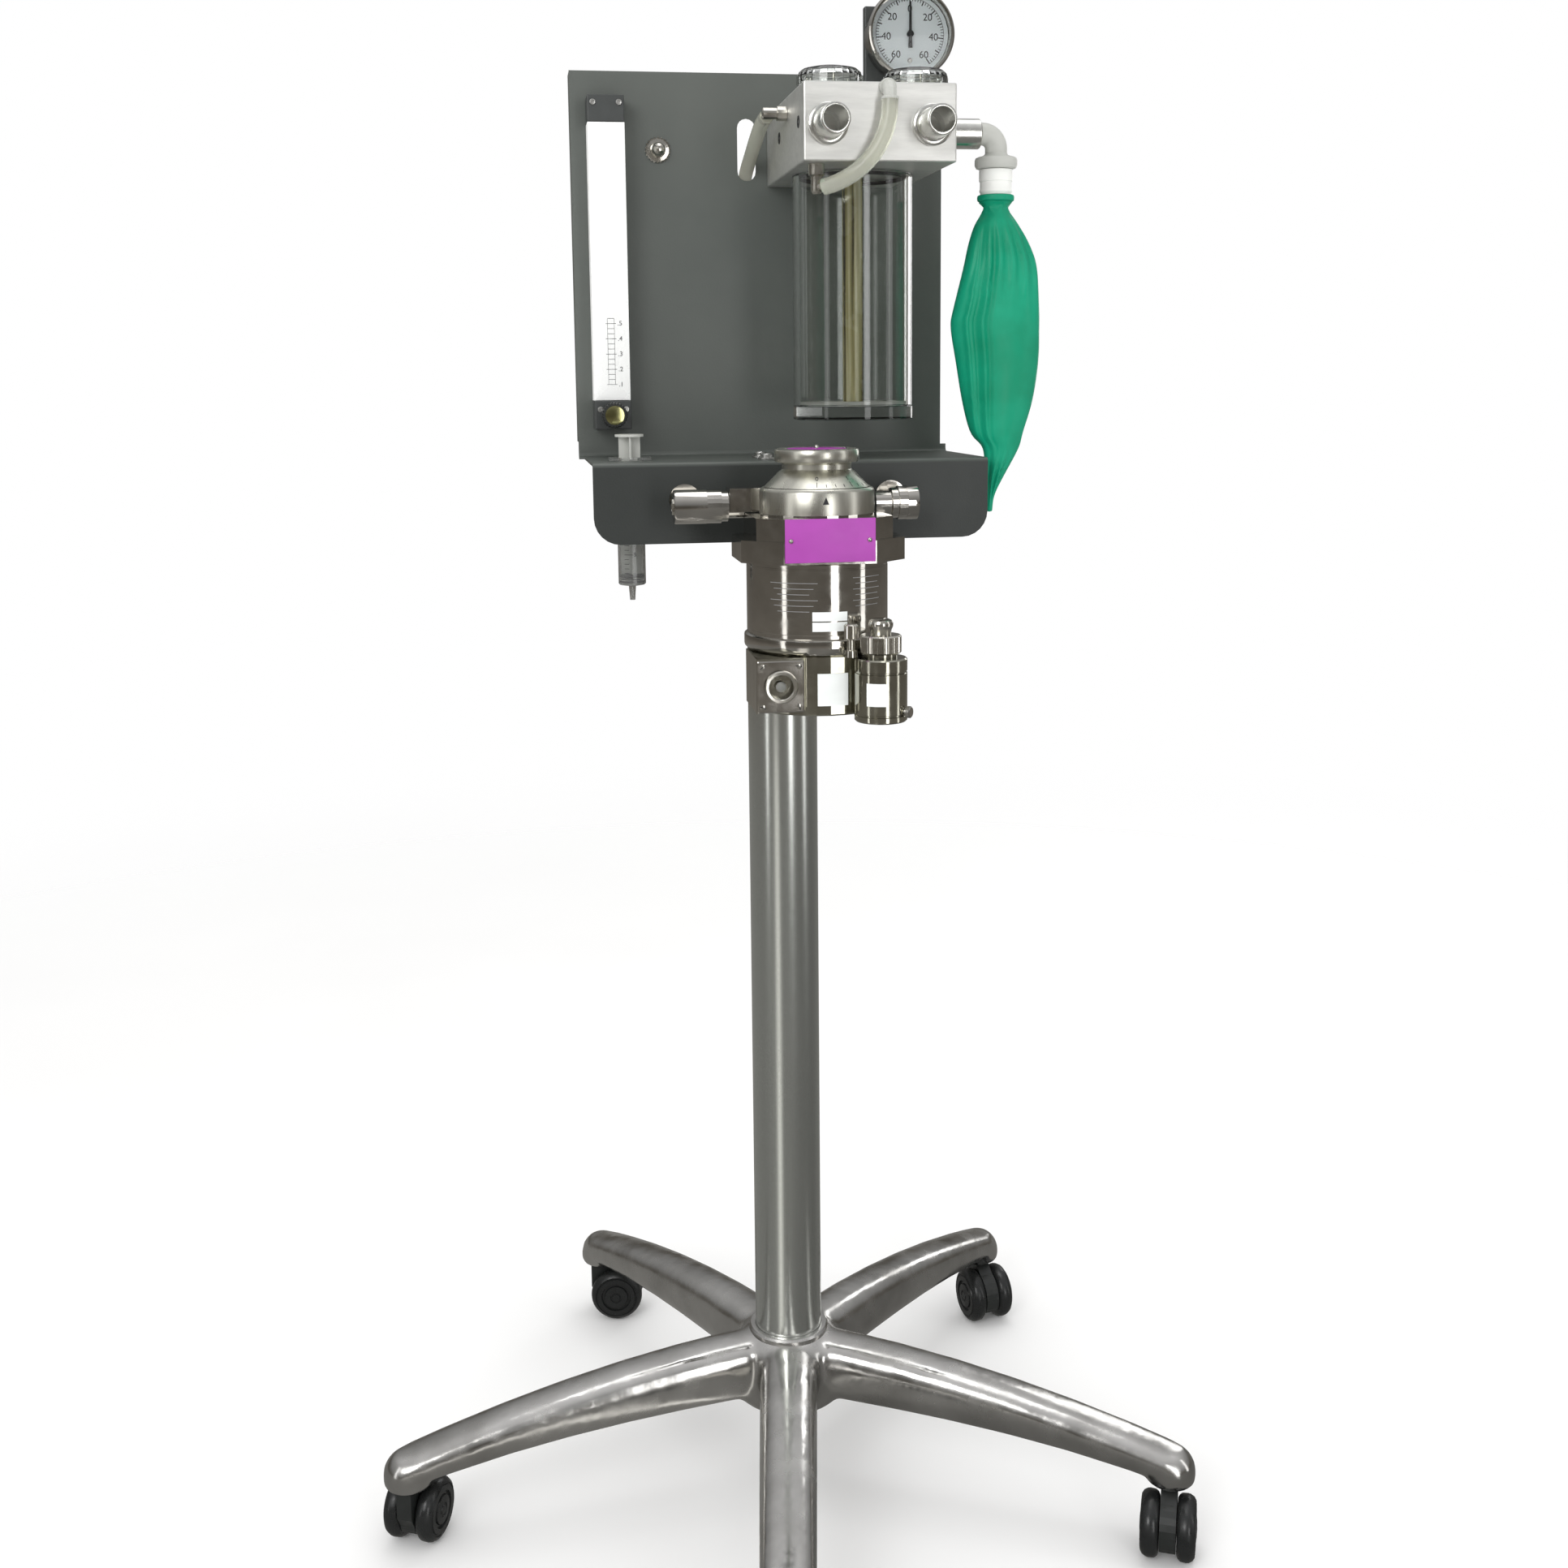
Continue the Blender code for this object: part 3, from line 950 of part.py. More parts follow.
def vaporizer():
    """Vaporizer: dial, crown, label, body, lower body with sight glass and filler, side ports."""
    dial_axis = axis_empty("vaporizer_dial_axis", (VAP_X, VAP_Y, 0.0))
    cap = VAP_CAP_DIAMETER / 2
    neck = VAP_NECK_DIAMETER / 2
    ring = VAP_RING_DIAMETER / 2
    dial_profile = [(0.0, VAP_DIAL_TOP - 0.0008), (cap - 0.0080, VAP_DIAL_TOP - 0.0008),
                    (cap - 0.0080, VAP_DIAL_TOP), (cap - 0.0014, VAP_DIAL_TOP), (cap, VAP_DIAL_TOP - 0.0014),
                    (cap, VAP_NECK_TOP + 0.0010), (cap - 0.0010, VAP_NECK_TOP), (neck, VAP_NECK_TOP - 0.0004),
                    (neck, VAP_NECK_LOW + 0.0010), (neck + 0.0016, VAP_NECK_LOW),
                    (ring - 0.0030, VAP_RING_TOP + GAP), (0.0, VAP_RING_TOP + GAP)]
    turned("vaporizer_dial", dial_profile, (0.0, 0.0, 0.0), SATIN, dial_axis)
    crown_profile = [(0.0, VAP_RING_TOP), (ring - 0.0018, VAP_RING_TOP), (ring - 0.0010, VAP_RING_TOP - 0.0010),
                     (ring, VAP_CROWN_TOP), (ring, VAP_CROWN_TOP - 0.002), (0.0, VAP_CROWN_TOP - 0.002)]
    crown = turned("vaporizer_crown", crown_profile, (VAP_X, VAP_Y, 0.0), CHROME)
    upper = outline("crown_upper", octagon(CROWN_UPPER_HALF_WIDTH, CROWN_HALF_DEPTH, 0.0200),
                    VAP_CROWN_STEP - 0.001, VAP_CROWN_TOP - 0.0005, CHROME, plane="XY")
    lower = outline("crown_lower", octagon(CROWN_HALF_WIDTH, CROWN_HALF_DEPTH, 0.0260),
                    VAP_BODY_TOP + GAP, VAP_CROWN_STEP, CHROME, plane="XY")
    join(crown, upper, lower)
    label_front = VAP_Y - CROWN_HALF_DEPTH - GAP
    left = VAP_X - LABEL_WIDTH / 2
    block("vaporizer_label", (left, label_front - LABEL_THICKNESS, VAP_CROWN_TOP - LABEL_HEIGHT),
          (left + LABEL_WIDTH, label_front, VAP_CROWN_TOP), PURPLE)
    body = VAP_BODY_DIAMETER / 2
    band = VAP_BAND_DIAMETER / 2
    body_profile = [(0.0, VAP_BODY_TOP), (body, VAP_BODY_TOP), (body, VAP_BAND_TOP),
                    (band, VAP_BAND_TOP - 0.001), (band, VAP_LOWER_TOP + 0.002),
                    (band - 0.0015, VAP_LOWER_TOP + GAP), (0.0, VAP_LOWER_TOP + GAP)]
    turned("vaporizer_body", body_profile, (VAP_X, VAP_Y, 0.0), CHROME)
    lower_body(body)
    filler()
    side_ports()


def lower_body(radius):
    """Dark lower body with a flat front-left pad that carries the sight glass."""
    drum = rod("vaporizer_lower_body", VAP_BAND_DIAMETER / 2 - 0.0020, VAP_BOTTOM, VAP_LOWER_TOP, (VAP_X,
                                                                                                   VAP_Y,
                                                                                                   0.0),
                                                                                                   CHROME,
               sides=SIDES, edge=0.0012)
    pad_front = VAP_Y - radius - 0.0012
    half = SIGHT_WIDTH / 2
    middle = VAP_X + SIGHT_X
    pad = block("sight_pad", (middle - half, pad_front, VAP_BOTTOM + 0.0040), (middle + half, VAP_Y,
                                                                               VAP_LOWER_TOP - 0.0005),
                CHROME)
    join(drum, pad)
    recess = rod("filler_recess", FILLER_DIAMETER / 2 + GAP, VAP_BOTTOM - 0.02, VAP_LOWER_TOP + 0.001,
                 (VAP_X + FILLER_X, VAP_Y + FILLER_Y, 0.0), CHROME, sides=32)
    cut(drum, recess)
    low = VAP_BOTTOM + 0.0045
    plate = block("sight_glass_plate", (middle - half, pad_front - GAP - 0.0032, low),
                  (middle + half, pad_front - GAP, low + SIGHT_HEIGHT), CHROME, bevel=0.0010)
    window = rod("sight_window", 0.0088, -0.002, 0.0040, (middle, pad_front - GAP - 0.0016,
                                                          low + SIGHT_HEIGHT / 2), CHROME,
                 direction=(0.0, -1.0, 0.0), sides=28)
    bezel = rod("sight_bezel", 0.0112, -0.0010, 0.0030, (middle, pad_front - GAP - 0.0022,
                                                         low + SIGHT_HEIGHT / 2), CHROME,
                direction=(0.0, -1.0, 0.0), sides=28, edge=0.0005)
    join(plate, bezel)
    cut(plate, window)


def filler():
    """Filler tower at the front right: block, screw cap with its knob, and the drain screw."""
    x = VAP_X + FILLER_X
    y = VAP_Y + FILLER_Y
    radius = FILLER_DIAMETER / 2
    tower = rod("vaporizer_filler_block", radius, FILLER_BOTTOM, FILLER_TOP, (x, y, 0.0), CHROME,
                sides=28, edge=0.0008)
    tower_groove = tube_ring("filler_groove", radius + 0.002, radius - 0.0006, FILLER_TOP - 0.0100,
                             FILLER_TOP - 0.0092,
                             (x, y, 0.0), CHROME)
    cut(tower, tower_groove)
    neck = rod("filler_neck", FILLER_CAP_DIAMETER / 2 - 0.003, FILLER_TOP - 0.001, FILLER_TOP + 0.0028,
               (x, y, 0.0), CHROME)
    join(tower, neck)
    cap_axis = axis_empty("filler_cap_axis", (x, y, 0.0))
    low = FILLER_TOP + 0.0028 + GAP
    cap = turned("vaporizer_filler_cap", [(0.0, FILLER_CAP_TOP), (FILLER_KNOB_DIAMETER / 2 - 0.001,
                                                                  FILLER_CAP_TOP),
                                          (FILLER_CAP_DIAMETER / 2 - 0.0016, FILLER_CAP_TOP - 0.0008),
                                          (FILLER_CAP_DIAMETER / 2, FILLER_CAP_TOP - 0.0030),
                                          (FILLER_CAP_DIAMETER / 2, low + 0.0010),
                                          (FILLER_CAP_DIAMETER / 2 - 0.001, low),
                                          (0.0, low)], (0.0, 0.0, 0.0), CHROME, cap_axis, sides=24)
    knob = FILLER_KNOB_DIAMETER / 2
    knob_top = FILLER_KNOB_TOP
    join(cap, turned("filler_knob", [(0.0, knob_top), (knob - 0.0022, knob_top), (knob - 0.0004,
                                                                                  knob_top - 0.0016),
                                     (knob, knob_top - 0.0036), (knob - 0.0003, knob_top - 0.0066),
                                     (knob - 0.0018, FILLER_CAP_TOP - 0.001), (0.0, FILLER_CAP_TOP - 0.001)],
                     (0.0, 0.0, 0.0), CHROME, cap_axis, sides=24))
    direction = Vector((0.80, -0.60, 0.0))
    face = radius + GAP
    drain_place = Vector((x, y, FILLER_BOTTOM + 0.0075)) + direction * face
    drain_axis = axis_empty("drain_screw_axis", drain_place)
    turned("vaporizer_drain_screw", [(0.0, 0.0045), (0.0034, 0.0045), (0.0042, 0.0038), (0.0042, 0.0016),
                                     (0.0030, 0.0010),
                                     (0.0030, 0.0), (0.0, 0.0)], (0.0, 0.0, 0.0), CHROME, drain_axis,
           direction=tuple(direction), sides=SMALL_SIDES)


def side_ports():
    """Chrome inlet and outlet cylinders beside the crown, each on a stand-off from the apron."""
    radius = SIDE_PORT_DIAMETER / 2
    apron = APRON_FRONT - GAP
    standoff = apron - SIDE_PORT_Y
    shapes = (("vaporizer_left_port", -1.0, 0.0610, 0.0900, -0.0800),
              ("vaporizer_right_port", 1.0, 0.0615, 0.0755, 0.0780))
    inner_end = CROWN_UPPER_HALF_WIDTH + GAP
    for name, side, step, reach, disc_x in shapes:
        profile = [(0.0, reach), (radius - 0.0012, reach), (radius, reach - 0.0014), (radius, step + 0.0050),
                   (radius - 0.0012, step + 0.0048), (radius - 0.0012, step), (radius - 0.0035, step - 0.0004),
                   (radius - 0.0035, inner_end), (0.0, inner_end)]
        stack = turned(name, profile, (VAP_X, SIDE_PORT_Y, SIDE_PORT_Z), CHROME, direction=(side, 0.0, 0.0),
                       sides=24)
        post = rod(name + "_standoff", 0.0070, 0.0, standoff, (disc_x, SIDE_PORT_Y, SIDE_PORT_Z), CHROME,
                   direction=(0.0, 1.0, 0.0))
        disc = rod(name + "_washer", 0.0118, standoff - 0.0016, standoff, (disc_x, SIDE_PORT_Y,
                                                                           SIDE_PORT_Z + 0.0030),
                   CHROME, direction=(0.0, 1.0, 0.0), sides=28)
        join(stack, post, disc)
        if side < 0:
            seat = block(name + "_seat", (-0.0520, SIDE_PORT_Y - 0.0120, VAP_CROWN_TOP + GAP),
                         (-0.0285, SIDE_PORT_Y + 0.0120, SIDE_PORT_Z + radius + 0.0010), CHROME)
            join(stack, seat)


# ---------------------------------------------------------------- the machine
def centre_on_floor():
    """Moves the whole stand so that the origin is the bottom centre of its bounding box."""
    bpy.context.view_layer.update()
    graph = bpy.context.evaluated_depsgraph_get()
    low = Vector((math.inf,) * 3)
    high = Vector((-math.inf,) * 3)
    for obj in PARTS.objects:
        if obj.type != "MESH":
            continue
        evaluated = obj.evaluated_get(graph)
        mesh = evaluated.to_mesh()
        for vertex in mesh.vertices:
            place = obj.matrix_world @ vertex.co
            low = Vector(map(min, low, place))
            high = Vector(map(max, high, place))
        evaluated.to_mesh_clear()
    STAND.location = (-(low.x + high.x) / 2, -(low.y + high.y) / 2, -low.z)


def build():
    star_base()
    swivels = [caster(index) for index in range(LEG_COUNT)]
    brake_lever(swivels[3])
    column_top()
    mounting_sheet()
    sheet_fittings()
    flowmeter()
    syringe()
    absorber_block()
    ports()
    valve_domes()
    canister()
    hose_fittings()
    hoses()
    bag_side()
    manometer()
    vaporizer()
    centre_on_floor()


build()
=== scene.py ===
"""The anesthesia machine's looks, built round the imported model. Metres, +Z up, front towards -Y."""
import json
import math

import bmesh
import bpy
from mathutils import Matrix, Vector


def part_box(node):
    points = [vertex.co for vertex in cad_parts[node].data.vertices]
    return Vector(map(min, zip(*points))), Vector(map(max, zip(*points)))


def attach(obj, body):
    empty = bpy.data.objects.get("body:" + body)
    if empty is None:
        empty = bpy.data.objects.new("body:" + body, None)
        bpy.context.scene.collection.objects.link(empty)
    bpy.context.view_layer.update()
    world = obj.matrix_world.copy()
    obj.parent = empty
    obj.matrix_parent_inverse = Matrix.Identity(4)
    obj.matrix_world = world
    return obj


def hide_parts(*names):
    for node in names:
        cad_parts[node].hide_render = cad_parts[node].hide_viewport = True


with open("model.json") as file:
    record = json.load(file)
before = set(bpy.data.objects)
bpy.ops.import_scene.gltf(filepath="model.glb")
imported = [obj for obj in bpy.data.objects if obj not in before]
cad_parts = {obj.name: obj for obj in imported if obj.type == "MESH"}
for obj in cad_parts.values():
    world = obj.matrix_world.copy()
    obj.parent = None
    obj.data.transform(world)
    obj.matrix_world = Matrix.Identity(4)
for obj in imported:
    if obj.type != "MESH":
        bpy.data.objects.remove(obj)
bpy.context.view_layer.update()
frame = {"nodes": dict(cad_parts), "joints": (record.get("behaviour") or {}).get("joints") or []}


def middle(node):
    low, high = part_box(node)
    return (low + high) / 2


ORIGIN = Vector((middle("column_tube").x, middle("column_tube").y, 0.0))


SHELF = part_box("shelf_screw")[0].z - 0.0003      # the shelf's top face


def at(x, y, z):
    """A point given from the column's axis at floor level."""
    return ORIGIN + Vector((x, y, z))


def up(x, y, rise):
    """A point given from the column's axis and the shelf's top face."""
    return ORIGIN + Vector((x, y, SHELF + rise))


# ---------------------------------------------------------------- camera, light and floor
def camera():
    data = bpy.data.cameras.new("camera")
    data.lens = 40.0
    data.sensor_width = 36.0
    data.shift_y = -0.0875
    data.clip_start = 0.02
    data.clip_end = 60.0
    eye = bpy.data.objects.new("camera", data)
    bpy.context.scene.collection.objects.link(eye)
    yaw, pitch, roll = (math.radians(angle) for angle in (9.12, 8.75, -0.54))
    forward = Vector((math.sin(yaw) * math.cos(pitch), math.cos(yaw) * math.cos(pitch), -math.sin(pitch)))
    level = Vector((math.cos(yaw), -math.sin(yaw), 0.0))
    above = level.cross(forward)
    right = level * math.cos(roll) + above * math.sin(roll)
    up = above * math.cos(roll) - level * math.sin(roll)
    turn = Matrix((right, up, -forward)).transposed()
    eye.matrix_world = Matrix.Translation(at(-0.2152, -1.3508, 0.9217)) @ turn.to_4x4()
    bpy.context.scene.camera = eye


def softbox(name, place, target, width, height, power, colour=(1.0, 1.0, 1.0)):
    data = bpy.data.lights.new(name, "AREA")
    data.shape = "RECTANGLE"
    data.size = width
    data.size_y = height
    data.energy = power
    data.color = colour
    lamp = bpy.data.objects.new(name, data)
    lamp.location = place
    lamp.rotation_mode = "QUATERNION"
    lamp.rotation_quaternion = (Vector(target) - Vector(place)).to_track_quat("-Z", "Y")
    bpy.context.scene.collection.objects.link(lamp)


def background(tree, colour, strength):
    node = tree.nodes.new("ShaderNodeBackground")
    node.inputs["Color"].default_value = (*colour, 1.0)
    node.inputs["Strength"].default_value = strength
    return node


def studio():
    """A white room that lights evenly, with a darker, banded one for the metal to reflect."""
    world = bpy.data.worlds.new("studio")
    bpy.context.scene.world = world
    world.use_nodes = True
    tree = world.node_tree
    tree.nodes.clear()
    output = tree.nodes.new("ShaderNodeOutputWorld")
    seen = background(tree, (1.0, 1.0, 1.0), 1.0)
    even = background(tree, (1.0, 0.995, 0.985), 0.92)
    shown = background(tree, (1.0, 1.0, 1.0), 1.0)
    place = tree.nodes.new("ShaderNodeTexCoord")
    split = tree.nodes.new("ShaderNodeSeparateXYZ")
    height = tree.nodes.new("ShaderNodeMapRange")
    height.inputs["From Min"].default_value = -1.0
    height.inputs["From Max"].default_value = 1.0
    ramp = tree.nodes.new("ShaderNodeValToRGB")
    stops = ((0.0, (0.34, 0.33, 0.31)), (0.40, (0.20, 0.185, 0.165)), (0.47, (0.095, 0.086, 0.074)),
             (0.56, (0.115, 0.108, 0.096)), (0.66, (0.26, 0.26, 0.26)), (0.80, (0.40, 0.40, 0.40)),
             (1.0, (0.75, 0.75, 0.76)))
    elements = ramp.color_ramp.elements
    while len(elements) < len(stops):
        elements.new(0.5)
    for element, (position, colour) in zip(elements, stops):
        element.position = position
        element.color = (*colour, 1.0)
    path = tree.nodes.new("ShaderNodeLightPath")
    glossy = tree.nodes.new("ShaderNodeMixShader")
    direct = tree.nodes.new("ShaderNodeMixShader")
    link = tree.links.new
    link(place.outputs["Generated"], split.inputs[0])
    link(split.outputs["Z"], height.inputs["Value"])
    link(height.outputs["Result"], ramp.inputs["Fac"])
    link(ramp.outputs["Color"], shown.inputs["Color"])
    link(path.outputs["Is Glossy Ray"], glossy.inputs["Fac"])
    link(even.outputs[0], glossy.inputs[1])
    link(shown.outputs[0], glossy.inputs[2])
    link(path.outputs["Is Camera Ray"], direct.inputs["Fac"])
    link(glossy.outputs[0], direct.inputs[1])
    link(seen.outputs[0], direct.inputs[2])
    link(direct.outputs[0], output.inputs["Surface"])
    softbox("key", at(-1.5, -2.2, 2.0), at(0, 0, 0.8), 1.2, 1.2, 26.0)
    softbox("left_strip", at(-2.1, -1.1, 0.9), at(0, 0, 0.8), 0.30, 2.2, 3.6)
    softbox("right_strip", at(2.0, -0.9, 0.9), at(0, 0, 0.8), 0.34, 2.2, 4.0)
    softbox("front_panel", at(0.85, -2.7, 0.85), at(0.05, 0, 0.95), 0.55, 1.7, 11.0)
    softbox("top", at(0.2, 0.2, 3.0), at(0, 0, 0.5), 1.4, 1.4, 11.0)
    softbox("rim", at(1.7, 1.9, 1.4), at(0, 0, 0.7), 0.5, 1.4, 5.0)


# ---------------------------------------------------------------- materials
class Paint:
    """One procedural material: a principled shader, and the few nodes that vary it."""

    def __init__(self, name, metallic=0.0, **sockets):
        self.material = bpy.data.materials.new(name)
        self.material.use_nodes = True
        self.tree = self.material.node_tree
        self.shader = self.tree.nodes["Principled BSDF"]
        self.shader.inputs["Metallic"].default_value = metallic
        for socket, value in sockets.items():
            self.shader.inputs[socket.replace("_", " ")].default_value = value
        self.place = self.tree.nodes.new("ShaderNodeTexCoord").outputs["Object"]

    def noise(self, scale, stretch=(1.0, 1.0, 1.0), detail=3.0, roughness=0.5):
        mapping = self.tree.nodes.new("ShaderNodeMapping")
        mapping.inputs["Scale"].default_value = stretch
        self.tree.links.new(self.place, mapping.inputs["Vector"])
        noise = self.tree.nodes.new("ShaderNodeTexNoise")
        noise.inputs["Scale"].default_value = scale
        noise.inputs["Detail"].default_value = detail
        noise.inputs["Roughness"].default_value = roughness
        self.tree.links.new(mapping.outputs[0], noise.inputs["Vector"])
        return noise.outputs["Fac"]

    def spread(self, value, low, high, start=0.35, end=0.65):
        """The value's middle range, stretched to run from low to high."""
        remap = self.tree.nodes.new("ShaderNodeMapRange")
        remap.inputs["From Min"].default_value = start
        remap.inputs["From Max"].default_value = end
        remap.inputs["To Min"].default_value = low
        remap.inputs["To Max"].default_value = high
        self.tree.links.new(value, remap.inputs["Value"])
        return remap.outputs["Result"]

    def colours(self, value, *stops):
        ramp = self.tree.nodes.new("ShaderNodeValToRGB")
        elements = ramp.color_ramp.elements
        while len(elements) < len(stops):
            elements.new(0.5)
        for element, (position, colour) in zip(elements, stops):
            element.position = position
            element.color = (*colour, 1.0)
        self.tree.links.new(value, ramp.inputs["Fac"])
        self.tree.links.new(ramp.outputs["Color"], self.shader.inputs["Base Color"])
        return self

    def rough(self, value, low, high):
        self.tree.links.new(self.spread(value, low, high), self.shader.inputs["Roughness"])
        return self

    def bumps(self, *heights):
        """Bump from pairs of a height and its depth in metres, one after another."""
        normal = None
        for value, depth in heights:
            bump = self.tree.nodes.new("ShaderNodeBump")
            bump.inputs["Distance"].default_value = depth
            bump.inputs["Strength"].default_value = 1.0
            self.tree.links.new(value, bump.inputs["Height"])
            if normal is not None:
                self.tree.links.new(normal, bump.inputs["Normal"])
            normal = bump.outputs["Normal"]
        self.tree.links.new(normal, self.shader.inputs["Normal"])
        return self


def plain(name, colour, low, high, scale=60.0, bump=0.00002, bump_scale=400.0, shade=0.86, **sockets):
    """A moulded or painted surface: its colour drifts a little, and so does its gloss."""
    paint = Paint(name, **sockets)
    drift = paint.noise(scale)
    darker = tuple(part * shade for part in colour)
    paint.colours(drift, (0.36, darker), (0.62, colour))
    paint.rough(paint.noise(scale * 2.3), low, high)
    paint.bumps((paint.noise(bump_scale), bump))
    return paint.material


def cast_metal():
    paint = Paint("polished_cast", metallic=1.0)
    paint.colours(paint.noise(14.0, detail=5.0), (0.30, (0.46, 0.45, 0.43)), (0.50, (0.62, 0.61, 0.59)),
                  (0.70, (0.72, 0.71, 0.69)))
    paint.rough(paint.noise(42.0, detail=6.0), 0.13, 0.30)
    paint.bumps((paint.noise(26.0), 0.0007), (paint.noise(170.0), 0.00006))
    return paint.material


def column_metal():
    paint = Paint("satin_silver", metallic=1.0)
    paint.colours(paint.noise(1400.0, detail=2.0), (0.34, (0.60, 0.62, 0.59)), (0.64, (0.70, 0.72, 0.69)))
    paint.rough(paint.noise(9.0, (1.0, 1.0, 0.25)), 0.20, 0.27)
    paint.bumps((paint.noise(2600.0, detail=1.0), 0.000012))
    return paint.material


def brushed(name, colour, low, high, stretch, depth=0.00003, metallic=1.0):
    paint = Paint(name, metallic=metallic)
    grain = paint.noise(220.0, stretch, detail=4.0, roughness=0.7)
    paint.colours(grain, (0.32, tuple(part * 0.88 for part in colour)), (0.66, colour))
    paint.rough(paint.noise(75.0, stretch, detail=5.0), low, high)
    paint.bumps((grain, depth))
    return paint.material


def chrome_metal(name, colour, low, high):
    paint = Paint(name, metallic=1.0)
    paint.colours(paint.noise(30.0, detail=4.0), (0.34, tuple(part * 0.84 for part in colour)), (0.62, colour))
    paint.rough(paint.noise(95.0, detail=5.0), low, high)
    paint.bumps((paint.noise(55.0), 0.00008), (paint.noise(900.0, detail=1.0), 0.000004))
    return paint.material


def powder_coat():
    """Fine-textured coat; the apron and the shelf's edge below the panel are darkened as painted shade."""
    paint = Paint("powder_coat", Specular_IOR_Level=0.42)
    tree = paint.tree
    shade_and_coat_ramps = []
    drift = paint.noise(5.0, detail=5.0, roughness=0.6)
    # The first pair of colours is painted shade for everything below the shelf, the second the coat's own colour.
    for low, high in (((0.024, 0.028, 0.026), (0.032, 0.036, 0.034)), ((0.086, 0.096, 0.088), (0.104, 0.114, 0.104))):
        ramp = tree.nodes.new("ShaderNodeValToRGB")
        for element, position, colour in zip(ramp.color_ramp.elements, (0.34, 0.66), (low, high)):
            element.position = position
            element.color = (*colour, 1.0)
        tree.links.new(drift, ramp.inputs["Fac"])
        shade_and_coat_ramps.append(ramp.outputs["Color"])
    # Painted shade by height: below the shelf's top face the dark pair, above it the coat's own colour.
    split = tree.nodes.new("ShaderNodeSeparateXYZ")
    tree.links.new(paint.place, split.inputs[0])
    above = paint.spread(split.outputs["Z"], 0.0, 1.0, SHELF - 0.0035, SHELF - 0.0005)
    mix = tree.nodes.new("ShaderNodeMix")
    mix.data_type = "RGBA"
    tree.links.new(above, mix.inputs[0])
    tree.links.new(shade_and_coat_ramps[0], mix.inputs[6])
    tree.links.new(shade_and_coat_ramps[1], mix.inputs[7])
    tree.links.new(mix.outputs[2], paint.shader.inputs["Base Color"])
    paint.rough(paint.noise(11.0, detail=6.0), 0.40, 0.52)
    paint.bumps((paint.noise(620.0, detail=2.0), 0.00007))
    return paint.material


def clear(name, colour, low, high, transmission=1.0, ior=1.46, depth=0.00002):
    paint = Paint(name, Transmission_Weight=transmission, IOR=ior)
    paint.colours(paint.noise(20.0), (0.36, tuple(part * 0.97 for part in colour)), (0.64, colour))
    paint.rough(paint.noise(60.0, detail=5.0), low, high)
    paint.bumps((paint.noise(38.0), depth))
    return paint.material


def streaked(name):
    """Aged tube with long pale and brown streaks down its length."""
    paint = Paint(name, Specular_IOR_Level=0.6)
    paint.colours(paint.noise(150.0, (1.0, 1.0, 0.02), detail=3.0), (0.36, (0.050, 0.042, 0.026)),
                  (0.46, (0.42, 0.37, 0.17)), (0.56, (0.70, 0.66, 0.44)), (0.66, (0.88, 0.88, 0.84)))
    paint.rough(paint.noise(60.0), 0.16, 0.30)
    paint.bumps((paint.noise(90.0, (1.0, 1.0, 0.1)), 0.00004))
    return paint.material


def rubber():
    paint = Paint("bag_rubber", Specular_IOR_Level=0.25)
    paint.colours(paint.noise(24.0, detail=5.0), (0.34, (0.002, 0.235, 0.125)), (0.64, (0.004, 0.300, 0.170)))
    paint.rough(paint.noise(60.0, detail=4.0), 0.36, 0.52)
    paint.bumps((paint.noise(34.0, (1.0, 1.0, 0.5), detail=4.0), 0.0006), (paint.noise(420.0), 0.00003))
    return paint.material


